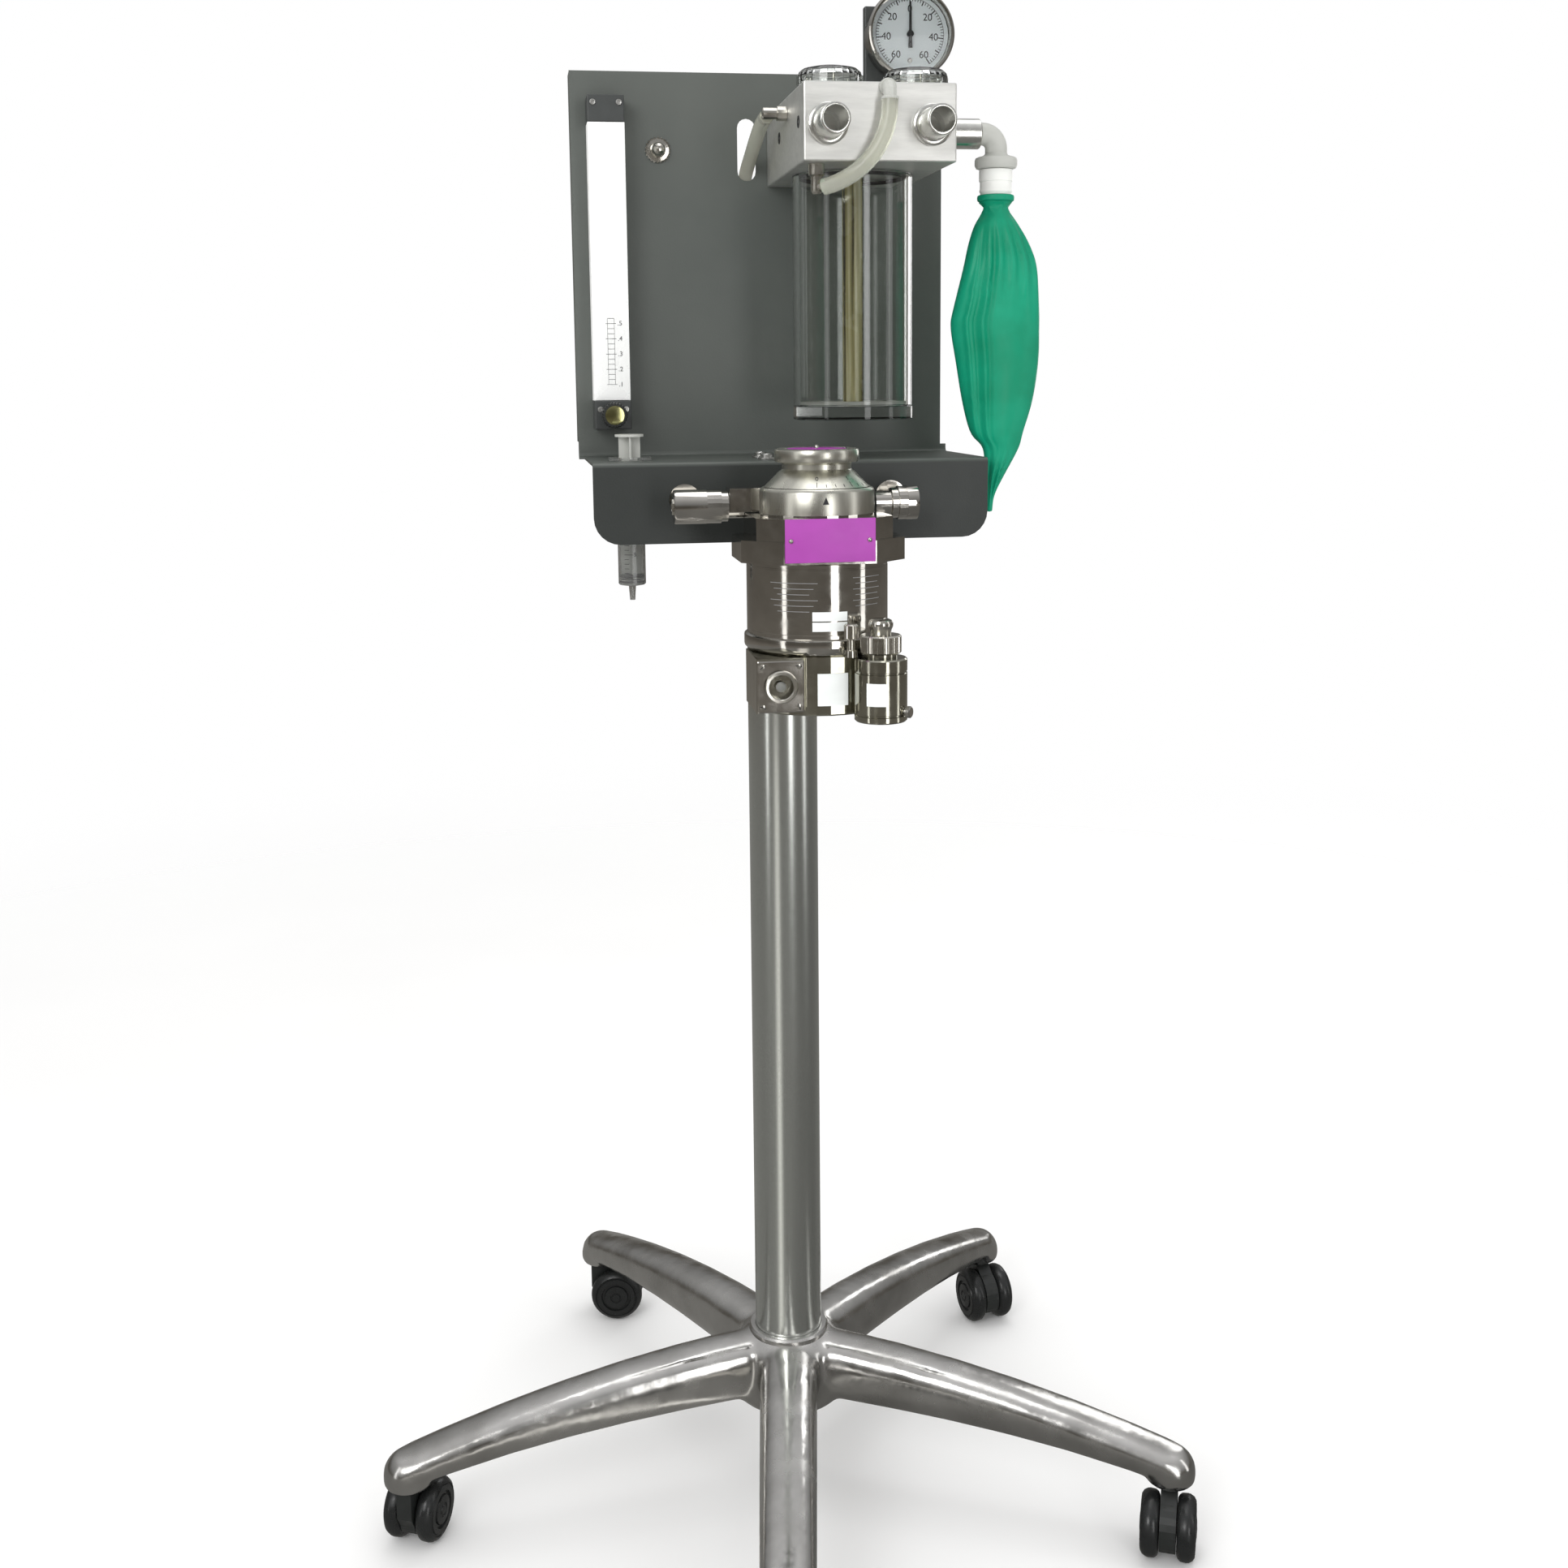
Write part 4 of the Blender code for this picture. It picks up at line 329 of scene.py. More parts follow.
FINISH = {
    "cast": cast_metal(),
    "column": column_metal(),
    "satin": brushed("satin_aluminium_fine", (0.92, 0.92, 0.89), 0.42, 0.50, (0.12, 1.0, 1.0), 0.000006),
    "port": brushed("turned_port", (0.86, 0.86, 0.82), 0.20, 0.30, (1.0, 0.12, 1.0), 0.00001),
    "powder": powder_coat(),
    "chrome": chrome_metal("vaporizer_chrome", (0.60, 0.58, 0.54), 0.06, 0.15),
    "dark_chrome": chrome_metal("dark_chrome", (0.46, 0.45, 0.38), 0.08, 0.18),
    "gold": chrome_metal("knob_cap_gold", (0.52, 0.50, 0.24), 0.10, 0.20),
    "nickel": chrome_metal("nickel", (0.66, 0.64, 0.58), 0.12, 0.24),
    "zinc": brushed("zinc_plate", (0.62, 0.62, 0.60), 0.24, 0.40, (1.0, 1.0, 1.0)),
    "dial_metal": brushed("dial_metal", (0.66, 0.65, 0.58), 0.26, 0.34, (1.0, 1.0, 0.10), 0.000002),
    "acrylic": clear("clear_acrylic_wall", (0.95, 0.97, 0.95), 0.015, 0.05),
    "lens": clear("lens_glass", (0.99, 0.99, 0.99), 0.0, 0.02, ior=1.2),
    "milky": clear("milky_elbow", (0.66, 0.67, 0.63), 0.34, 0.44, 0.30, 1.45, 0.00003),
    "hose": clear("hose_vinyl", (0.86, 0.87, 0.76), 0.12, 0.24, 0.72, 1.38, 0.00005),
    "amber": clear("aged_tube", (0.80, 0.77, 0.58), 0.14, 0.30, 0.55, 1.42, 0.00005),
    "frost": clear("syringe_plastic", (0.90, 0.91, 0.90), 0.06, 0.12, 0.93, 1.30, 0.00002),
    "white_acrylic": clear("white_acrylic", (0.99, 1.0, 0.99), 0.24, 0.32, 0.12, 1.40, 0.00001),
    "rubber": rubber(),
    "black": plain("moulded_black", (0.016, 0.018, 0.017), 0.30, 0.46, bump_scale=260.0),
    "tyre": plain("wheel_black", (0.012, 0.013, 0.013), 0.22, 0.40, bump_scale=180.0),
    "bracket": plain("bracket_grey", (0.050, 0.055, 0.054), 0.38, 0.52),
    "white": plain("white_moulding", (0.84, 0.85, 0.82), 0.30, 0.42, shade=0.94),
    "bright": plain("white_backing", (0.92, 0.93, 0.92), 0.40, 0.50, shade=0.97),
    "dial": plain("dial_paper", (0.80, 0.87, 0.88), 0.50, 0.60, shade=0.98),
    "purple": plain("purple_plate", (0.36, 0.045, 0.36), 0.36, 0.48, scale=40.0, shade=0.92),
    "sticker": plain("sticker_paper", (0.80, 0.83, 0.82), 0.42, 0.52, shade=0.95),
    "core": streaked("core_tube"),
    "grey_ink": plain("grey_ink", (0.22, 0.22, 0.22), 0.45, 0.60),
    "ink": plain("black_ink", (0.018, 0.018, 0.020), 0.45, 0.60),
    "stopper": plain("stopper_rubber", (0.014, 0.014, 0.014), 0.50, 0.66),
}

NODE_FINISH = {
    "star_base": "cast", "column_tube": "column", "column_top_plate": "bracket", "mounting_sheet": "powder",
    "panel_nut": "nickel", "shelf_screw": "zinc",
    "flowmeter_base": "bracket", "flowmeter_tube": "acrylic", "flowmeter_cap": "bracket", "flowmeter_float": "ink",
    "flowmeter_knob": "nickel", "syringe_barrel": "frost", "syringe_plunger": "milky",
    "absorber_block": "satin", "inhale_port": "nickel", "exhale_port": "nickel", "bag_port": "satin",
    "inhale_valve_dome": "acrylic", "exhale_valve_dome": "acrylic", "inhale_valve_disc": "white",
    "exhale_valve_disc": "white", "canister_tube": "acrylic", "canister_base": "acrylic",
    "canister_inner_tube": "amber", "hose_elbow": "milky", "hose_barb": "nickel", "side_barb": "nickel",
    "rear_outlet_barb": "nickel", "bag_elbow": "milky", "bag_connector": "white", "breathing_bag": "rubber",
    "manometer_case": "chrome", "manometer_dial": "dial", "manometer_lens": "lens", "manometer_needle": "ink",
    "manometer_post": "bracket", "vaporizer_dial": "dial_metal", "vaporizer_crown": "chrome",
    "vaporizer_label": "purple", "vaporizer_body": "chrome", "vaporizer_lower_body": "dark_chrome",
    "sight_glass_plate": "chrome", "vaporizer_filler_block": "chrome", "vaporizer_filler_cap": "chrome",
    "vaporizer_drain_screw": "chrome", "vaporizer_left_port": "chrome", "vaporizer_right_port": "chrome",
    "caster_brake_lever": "black",
}
for number in range(1, 6):
    NODE_FINISH[f"caster_hood_{number}"] = "black"
    NODE_FINISH[f"caster_wheels_{number}"] = "tyre"


def finish_nodes():
    for node, finish in NODE_FINISH.items():
        slots = frame["nodes"][node].data.materials
        for index in range(len(slots)):
            slots[index] = FINISH[finish]


# ---------------------------------------------------------------- making pieces
def add(name, mesh, finish, body, crease=35.0):
    piece = bpy.data.objects.new(name, mesh)
    bpy.context.scene.collection.objects.link(piece)
    mesh.materials.clear()
    mesh.materials.append(FINISH[finish])
    mesh.shade_smooth()
    if crease:
        mesh.set_sharp_from_angle(angle=math.radians(crease))
    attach(piece, body)
    return piece


def mesh_from(name, shape, matrix=None):
    bmesh.ops.recalc_face_normals(shape, faces=shape.faces)
    mesh = bpy.data.meshes.new(name)
    shape.to_mesh(mesh)
    shape.free()
    if matrix is not None:
        mesh.transform(matrix)
    return mesh


def facing(place, axis):
    """The transform that stands a piece made along +Z at `place`, pointing along `axis`."""
    turn = Vector((0.0, 0.0, 1.0)).rotation_difference(Vector(axis))
    return Matrix.Translation(place) @ turn.to_matrix().to_4x4()


def lathe(name, profile, place, finish, body, axis=(0.0, 0.0, 1.0), sides=96, ring=False):
    """A turned piece: (radius, height) points round its section, closed into a ring if asked."""
    shape = bmesh.new()
    loops = []
    for radius, height in profile:
        if radius < 1e-6:
            loops.append([shape.verts.new((0.0, 0.0, height))])
            continue
        loops.append([shape.verts.new((radius * math.cos(math.tau * index / sides),
                                       radius * math.sin(math.tau * index / sides), height))
                      for index in range(sides)])
    pairs = list(zip(loops, loops[1:]))
    if ring:
        pairs.append((loops[-1], loops[0]))
    for first, second in pairs:
        for index in range(sides):
            after = (index + 1) % sides
            corners = [first[index % len(first)], first[after % len(first)],
                       second[after % len(second)], second[index % len(second)]]
            unique = list(dict.fromkeys(corners))
            if len(unique) > 2:
                shape.faces.new(unique)
    return add(name, mesh_from(name, shape, facing(place, axis)), finish, body)


def knurl(name, radius, low, high, place, finish, body, axis=(0.0, 0.0, 1.0), teeth=40, depth=0.0006):
    """A grip: a round plate with ridges along its rim and chamfered ends."""
    shape = bmesh.new()
    chamfer = min(0.0010, (high - low) / 4)
    rows = ((low, depth + chamfer), (low + chamfer, depth), (high - chamfer, depth), (high, depth + chamfer))
    count = teeth * 4
    loops = []
    for height, inset in rows:
        loop = []
        for index in range(count):
            ridge = 1.0 if index % 4 in (1, 2) else 0.0
            reach = radius - inset + ridge * depth
            angle = math.tau * index / count
            loop.append(shape.verts.new((reach * math.cos(angle), reach * math.sin(angle), height)))
        loops.append(loop)
    for first, second in zip(loops, loops[1:]):
        for index in range(count):
            after = (index + 1) % count
            shape.faces.new((first[index], first[after], second[after], second[index]))
    shape.faces.new(loops[0])
    shape.faces.new(loops[-1])
    return add(name, mesh_from(name, shape, facing(place, axis)), finish, body, 25.0)


def slab(shape, low, high):
    """Adds a box between two corners to a mesh being made."""
    low = Vector(low)
    high = Vector(high)
    place = Matrix.Translation((low + high) / 2) @ Matrix.Diagonal((*(high - low), 1.0))
    return bmesh.ops.create_cube(shape, size=1.0, matrix=place)["verts"]


def box(name, low, high, finish, body, edge=0.0006):
    """A block with rounded edges."""
    shape = bmesh.new()
    slab(shape, low, high)
    bmesh.ops.bevel(shape, geom=shape.edges[:], offset=edge, segments=3, profile=0.5, affect="EDGES")
    return add(name, mesh_from(name, shape), finish, body)


def marks(name, boxes, finish, body, matrix=None):
    """Many small printed bars as one piece."""
    shape = bmesh.new()
    for low, high in boxes:
        slab(shape, low, high)
    return add(name, mesh_from(name, shape, matrix), finish, body)


def lettering(name, texts, height, finish, body, depth=0.00015):
    """Numbers as one piece, from pairs of a string and the transform of its middle."""
    shape = bmesh.new()
    for text, matrix in texts:
        curve = bpy.data.curves.new(name, "FONT")
        curve.body = text
        curve.size = height
        curve.align_x = "CENTER"
        curve.align_y = "CENTER"
        curve.extrude = depth
        source = bpy.data.objects.new(name, curve)
        bpy.context.scene.collection.objects.link(source)
        bpy.context.view_layer.update()
        mesh = bpy.data.meshes.new_from_object(source.evaluated_get(bpy.context.evaluated_depsgraph_get()))
        mesh.transform(matrix)
        shape.from_mesh(mesh)
        bpy.data.objects.remove(source, do_unlink=True)
        bpy.data.meshes.remove(mesh)
    return add(name, mesh_from(name, shape), finish, body)


UPRIGHT = Matrix.Rotation(math.pi / 2, 4, "X")


def patch(name, axis, radius, angle, width, low, high, finish, body, thick=0.0004):
    """A thin plate wrapped on a cylinder, centred on an angle in degrees."""
    shape = bmesh.new()
    half = width / radius / 2
    steps = 16
    rows = []
    for reach in (radius, radius + thick):
        for height in (low, high):
            rows.append([shape.verts.new((axis.x + reach * math.cos(turn), axis.y + reach * math.sin(turn), height))
                         for turn in [math.radians(angle) - half + 2 * half * step / steps
                                      for step in range(steps + 1)]])
    inner_low, inner_high, outer_low, outer_high = rows
    for first, second in ((inner_low, inner_high), (inner_high, outer_high), (outer_high, outer_low),
                          (outer_low, inner_low)):
        for step in range(steps):
            shape.faces.new((first[step], first[step + 1], second[step + 1], second[step]))
    for end in (0, -1):
        shape.faces.new((inner_low[end], inner_high[end], outer_high[end], outer_low[end]))
    return add(name, mesh_from(name, shape), finish, body)


def evaluated(name, source):
    """The mesh that an object's modifiers make, with the object itself removed."""
    bpy.context.view_layer.update()
    mesh = bpy.data.meshes.new_from_object(source.evaluated_get(bpy.context.evaluated_depsgraph_get()))
    bpy.data.objects.remove(source, do_unlink=True)
    mesh.name = name
    return mesh


def smooth_route(points, steps):
    """Points of a Catmull-Rom curve through the route's own points."""
    chain = [2 * Vector(points[0]) - Vector(points[1])]
    chain += [Vector(point) for point in points]
    chain.append(2 * Vector(points[-1]) - Vector(points[-2]))
    route = []
    for index in range(1, len(chain) - 2):
        before, start, end, after = chain[index - 1:index + 3]
        for step in range(steps):
            t = step / steps
            route.append(0.5 * ((2 * start) + (end - before) * t
                                + (2 * before - 5 * start + 4 * end - after) * t ** 2
                                + (3 * start - before - 3 * end + after) * t ** 3))
    route.append(chain[-2])
    return route


# ---------------------------------------------------------------- hoses
LOOP_ROUTE = [(0.0665, -0.0952, 0.2578), (0.0655, -0.0967, 0.2455), (0.0626, -0.0971, 0.2344),
              (0.0580, -0.0964, 0.2247), (0.0521, -0.0945, 0.2163), (0.0451, -0.0914, 0.2094),
              (0.0373, -0.0871, 0.2040), (0.0289, -0.0814, 0.2001), (0.0220, -0.0760, 0.1982)]
GAS_ROUTE = [(-0.0090, -0.0080, 0.2571), (-0.0092, 0.0080, 0.2559), (-0.0095, 0.0250, 0.2524),
             (-0.0100, 0.0450, 0.2456), (-0.0105, 0.0660, 0.2374), (-0.0110, 0.0880, 0.2288),
             (-0.0108, 0.1035, 0.2211), (-0.0102, 0.1170, 0.2101), (-0.0090, 0.1270, 0.1956),
             (-0.0070, 0.1325, 0.1786), (-0.0030, 0.1340, 0.1566), (0.0060, 0.1335, 0.1216),
             (0.0230, 0.1330, 0.0766), (0.0400, 0.1325, 0.0366), (0.0480, 0.1300, 0.0176),
             (0.0550, 0.1225, -0.0004), (0.0605, 0.1100, -0.0154), (0.0635, 0.0920, -0.0254),
             (0.0648, 0.0720, -0.0284), (0.0650, 0.0500, -0.0286), (0.0650, 0.0200, -0.0286),
             (0.0650, -0.0150, -0.0284)]


def hose(name, route, radius, finish, body, node):
    points = [up(*point) for point in smooth_route(route, 5)]
    curve = bpy.data.curves.new(name, "CURVE")
    curve.dimensions = "3D"
    curve.bevel_depth = radius
    curve.bevel_resolution = 6
    curve.use_fill_caps = True
    spline = curve.splines.new("POLY")
    spline.points.add(len(points) - 1)
    for spot, point in zip(spline.points, points):
        spot.co = (*point, 1.0)
    spline.use_smooth = True
    curve.materials.append(FINISH[finish])
    piece = bpy.data.objects.new(name, curve)
    bpy.context.scene.collection.objects.link(piece)
    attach(piece, body)
    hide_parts(node)
    return piece


def hose_ends():
    """A barb pushed into the gas hose's end, and a ridged collar on the loop hose's end."""
    lathe("side_barb_tip", [(0.0, 0.0120), (0.0028, 0.0120), (0.0040, 0.0085), (0.0030, 0.0080),
                            (0.0040, 0.0045), (0.0030, 0.0040), (0.0030, 0.0), (0.0, 0.0)],
          up(-0.0090, -0.0090, 0.2576), "nickel", "stand", axis=(0.0, 1.0, -0.04), sides=40)
    knurl("loop_hose_collar", 0.0064, 0.0, 0.0022, Vector(up(0.0665, -0.0952, 0.2590)), "milky", "stand",
          axis=(0.0, -0.05, -1.0), teeth=20, depth=0.0003)


# ---------------------------------------------------------------- base, casters and column
def cast_base():
    """The casting with its hub and legs blended into each other."""
    source = bpy.data.objects.new("cast_base", frame["nodes"]["star_base"].data.copy())
    bpy.context.scene.collection.objects.link(source)
    remesh = source.modifiers.new("blend", "REMESH")
    remesh.mode = "VOXEL"
    remesh.voxel_size = 0.0026
    relax = source.modifiers.new("relax", "SMOOTH")
    relax.factor = 0.6
    relax.iterations = 14
    piece = add("cast_base", evaluated("cast_base", source), "cast", "stand", 0.0)
    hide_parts("star_base")
    low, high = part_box("column_tube")
    radius = (high.x - low.x) / 2
    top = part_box("star_base")[1].z
    lathe("column_foot_ring", [(radius + 0.0002, top - 0.006), (radius + 0.0058, top - 0.006),
                               (radius + 0.0056, top + 0.0012), (radius + 0.0042, top + 0.0028),
                               (radius + 0.0014, top + 0.0034), (radius + 0.0002, top + 0.0030)],
          at(0, 0, 0), "cast", "stand", ring=True)


def column():
    low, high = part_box("column_tube")
    radius = (high.x - low.x) / 2
    piece = lathe("column_sleeve", [(radius - 0.0025, high.z), (radius - 0.0003, high.z), (radius, high.z - 0.0003),
                                    (radius, low.z + 0.0003), (radius - 0.0003, low.z), (radius - 0.0025, low.z)],
                  at(0, 0, 0), "column", "stand", sides=128, ring=True)
    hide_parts("column_tube")


def joint_named(name):
    return next(joint for joint in frame["joints"] if joint["name"] == name)


def caster_wheels(number):
    """Twin wheels with rounded treads, a step at the rim and a domed hub cover."""
    joint = joint_named(f"caster_{number}_roll")
    node = f"caster_wheels_{number}"
    low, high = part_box(node)
    radius = (high.z - low.z) / 2
    place = Vector(joint["pos_m"])
    axis = Vector(joint["axis"])
    inner = 0.0070
    outer = inner + 0.0155
    for side, turn in (("a", 1.0), ("b", -1.0)):
        profile = [(0.0, outer - 0.0002), (0.0035, outer - 0.0004), (0.0040, outer - 0.0012), (0.0052, outer - 0.0012),
                   (0.0056, outer - 0.0004), (0.0110, outer - 0.0010), (0.0116, outer - 0.0026),
                   (0.0138, outer - 0.0028), (0.0144, outer - 0.0010), (radius - 0.0065, outer - 0.0012),
                   (radius - 0.0060, outer - 0.0022), (radius - 0.0052, outer - 0.0022),
                   (radius - 0.0046, outer - 0.0014), (radius - 0.0020, outer - 0.0030),
                   (radius - 0.0004, outer - 0.0058), (radius, outer - 0.0080), (radius - 0.0004, inner + 0.0030),
                   (radius - 0.0020, inner + 0.0010), (radius - 0.0040, inner), (0.0, inner)]
        wheel = lathe(f"wheel_{number}_{side}", profile, place, "tyre", f"caster_wheels_{number}", axis=axis * turn,
                      sides=72)
        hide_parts(node)
    lathe(f"wheel_axle_{number}", [(0.0, inner), (0.0038, inner), (0.0038, -inner), (0.0, -inner)], place, "zinc",
          f"caster_wheels_{number}", axis=axis, sides=32)
    swivel = joint_named(f"caster_{number}_swivel")
    stem = Vector(swivel["pos_m"])
    lathe(f"stem_washer_{number}", [(0.0058, 0.0), (0.0112, 0.0), (0.0115, 0.0006), (0.0115, 0.0016), (0.0058, 0.0018)],
          Vector((stem.x, stem.y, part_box("star_base")[0].z - 0.0021)), "zinc", f"caster_swivel_{number}",
          sides=40, ring=True)


# ---------------------------------------------------------------- panel and shelf
def panel_fittings():
    centre = middle("panel_nut")
    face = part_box("panel_nut")[1].y
    knurl("panel_nut_washer", 0.0104, 0.0, 0.0012, Vector((centre.x, face, centre.z)), "nickel", "stand",
          axis=(0.0, -1.0, 0.0), teeth=22, depth=0.0009)
    screw = middle("shelf_screw")
    for index, (x, y) in enumerate(((0.0, 0.036), (0.026, 0.036), (0.026, 0.0))):
        place = Vector((screw.x + x, screw.y + y, SHELF + 0.0002))
        lathe(f"shelf_screw_{index + 2}", [(0.0, 0.0018), (0.0022, 0.0018), (0.0026, 0.0042), (0.0040, 0.0042),
                                           (0.0046, 0.0036), (0.0046, 0.0014), (0.0070, 0.0012), (0.0070, 0.0),
                                           (0.0, 0.0)], place, "zinc", "stand", sides=40)


def flowmeter():
    """White block with a channel for the metering tube, clear cover, scale, numbers and knob rim."""
    low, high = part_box("flowmeter_tube")
    bore = middle("flowmeter_float")
    half = 0.0052
    cover = 0.0022
    channel = [(high.x, high.y), (low.x, high.y), (low.x, low.y + cover), (bore.x - half, low.y + cover)]
    for step in range(9):
        turn = math.pi - math.pi * step / 8
        channel.append((bore.x + half * math.cos(turn), bore.y + half * math.sin(turn)))
    channel += [(bore.x + half, low.y + cover), (high.x, low.y + cover)]
    shape = bmesh.new()
    face = shape.faces.new([shape.verts.new((x, y, low.z)) for x, y in channel])
    lifted = bmesh.ops.extrude_face_region(shape, geom=[face])["geom"]
    bmesh.ops.translate(shape, verts=[item for item in lifted if isinstance(item, bmesh.types.BMVert)],
                        vec=(0.0, 0.0, high.z - low.z))
    block = add("flowmeter_body", mesh_from("flowmeter_body", shape), "bright", "stand")
    window = box("flowmeter_window", (low.x, low.y, low.z), (high.x, low.y + cover - 0.0002, high.z),
                 "white_acrylic", "stand", 0.0004)
    for piece in (block, window):
        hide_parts("flowmeter_tube")
    start = low.z + 0.0125
    step = 0.0040
    bars = []
    numbers = []
    for index in range(14):
        height = start + index * step
        wide = 0.0042 if index % 3 == 0 else 0.0026
        bars.append(((bore.x - wide, low.y - 0.0001, height - 0.00017),
                     (bore.x + wide, low.y + 0.0001, height + 0.00017)))
    for side in (-1, 1):
        rail = bore.x + side * 0.0027
        bars.append(((rail - 0.00012, low.y - 0.0001, start), (rail + 0.00012, low.y + 0.0001, start + 13 * step)))
    for text, index in ((".1", 0), (".2", 3), (".3", 6), (".4", 9), (".5", 12)):
        place = Vector((bore.x + 0.0072, low.y - 0.00005, start + index * step))
        numbers.append((text, Matrix.Translation(place) @ UPRIGHT))
    marks("flowmeter_scale", bars, "ink", "stand")
    lettering("flowmeter_numbers", numbers, 0.0052, "ink", "stand", 0.00008)
    lathe("flowmeter_glass", [(0.0050, low.z + 0.0061), (0.0050, high.z - 0.001), (0.0043, high.z - 0.001),
                              (0.0043, low.z + 0.0061)], Vector((bore.x, bore.y, 0.0)), "lens", "stand", sides=48,
          ring=True)
    knob = middle("flowmeter_knob")
    knob_low, knob_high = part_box("flowmeter_knob")
    rear = knob_high.y
    depth = knob_high.y - knob_low.y
    radius = (knob_high.x - knob_low.x) / 2
    grip = knurl("flow_knob_grip", radius, 0.0050, depth - 0.0002, Vector((knob.x, rear, knob.z)), "black",
                 "flow_knob", axis=(0.0, -1.0, 0.0), teeth=26, depth=0.0007)
    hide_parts("flowmeter_knob")
    stem = lathe("flow_knob_stem", [(0.0, 0.0055), (0.0050, 0.0055), (0.0050, 0.0), (0.0, 0.0)],
                 Vector((knob.x, rear, knob.z)), "zinc", "flow_knob", axis=(0.0, -1.0, 0.0), sides=40)
    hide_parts("flowmeter_knob")
    lathe("flow_knob_cap", [(0.0, depth + 0.0006), (0.0052, depth + 0.0005), (0.0074, depth + 0.0001),
                            (0.0080, depth - 0.0010), (0.0, depth - 0.0010)],
          Vector((knob.x, rear, knob.z)), "gold", "flow_knob", axis=(0.0, -1.0, 0.0), sides=48)
    for name in ("flowmeter_base", "flowmeter_cap"):
        low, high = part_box(name)
        for side in (-1, 1):
            lathe(f"{name}_screw_{'left' if side < 0 else 'right'}",
                  [(0.0, 0.0005), (0.0012, 0.0005), (0.0013, 0.0011), (0.0022, 0.0010), (0.0024, 0.0), (0.0, 0.0)],
                  Vector(((low.x + high.x) / 2 + side * 0.0102, low.y - 0.0001, (low.z + high.z) / 2 + 0.0045)),
                  "zinc", "stand", axis=(0.0, -1.0, 0.0), sides=32)


def syringe():
    """Printed graduations on the barrel and the black stopper inside it."""
    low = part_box("syringe_barrel")[0]
    joint_place = middle("syringe_plunger")
    radius = 0.01065
    scale = []
    shape = bmesh.new()
    for index in range(21):
        height = low.z + 0.0180 + index * 0.0036
        turn = 0.62 if index % 5 == 0 else 0.34
        count = 7
        rows = []
        for reach in (radius + 0.00002, radius + 0.00012):
            for lift in (-0.00016, 0.00016):
                rows.append([shape.verts.new((joint_place.x + reach * math.cos(angle),
                                              joint_place.y + reach * math.sin(angle), height + lift))
                             for angle in [math.radians(-125) + turn * step / count for step in range(count + 1)]])
        for first, second in ((rows[0], rows[1]), (rows[1], rows[3]), (rows[3], rows[2]), (rows[2], rows[0])):
            for step in range(count):
                shape.faces.new((first[step], first[step + 1], second[step + 1], second[step]))
        for end in (0, -1):
            shape.faces.new((rows[0][end], rows[1][end], rows[3][end], rows[2][end]))
        scale.append(height)
    add("syringe_scale", mesh_from("syringe_scale", shape), "ink", "syringe")
    numbers = []
    for text, index in (("5", 5), ("10", 10), ("15", 15)):
        angle = math.radians(-80)
        place = Vector((joint_place.x + (radius + 0.0001) * math.cos(angle),
                        joint_place.y + (radius + 0.0001) * math.sin(angle), scale[index]))
        numbers.append((text, Matrix.Translation(place) @ Matrix.Rotation(math.radians(10), 4, "Z") @ UPRIGHT))
    lettering("syringe_numbers", numbers, 0.0042, "ink", "syringe", 0.0001)
    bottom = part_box("syringe_plunger")[0].z
    seal = 0.00955
    lathe("syringe_stopper", [(0.0, 0.0072), (seal - 0.0012, 0.0072), (seal, 0.0064), (seal, 0.0048),
                              (seal - 0.0009, 0.0042), (seal - 0.0009, 0.0026), (seal, 0.0020), (seal, 0.0006),
                              (seal - 0.0006, 0.0001), (0.0, 0.0001)],
          Vector((joint_place.x, joint_place.y, bottom)), "stopper", "plunger", sides=64)


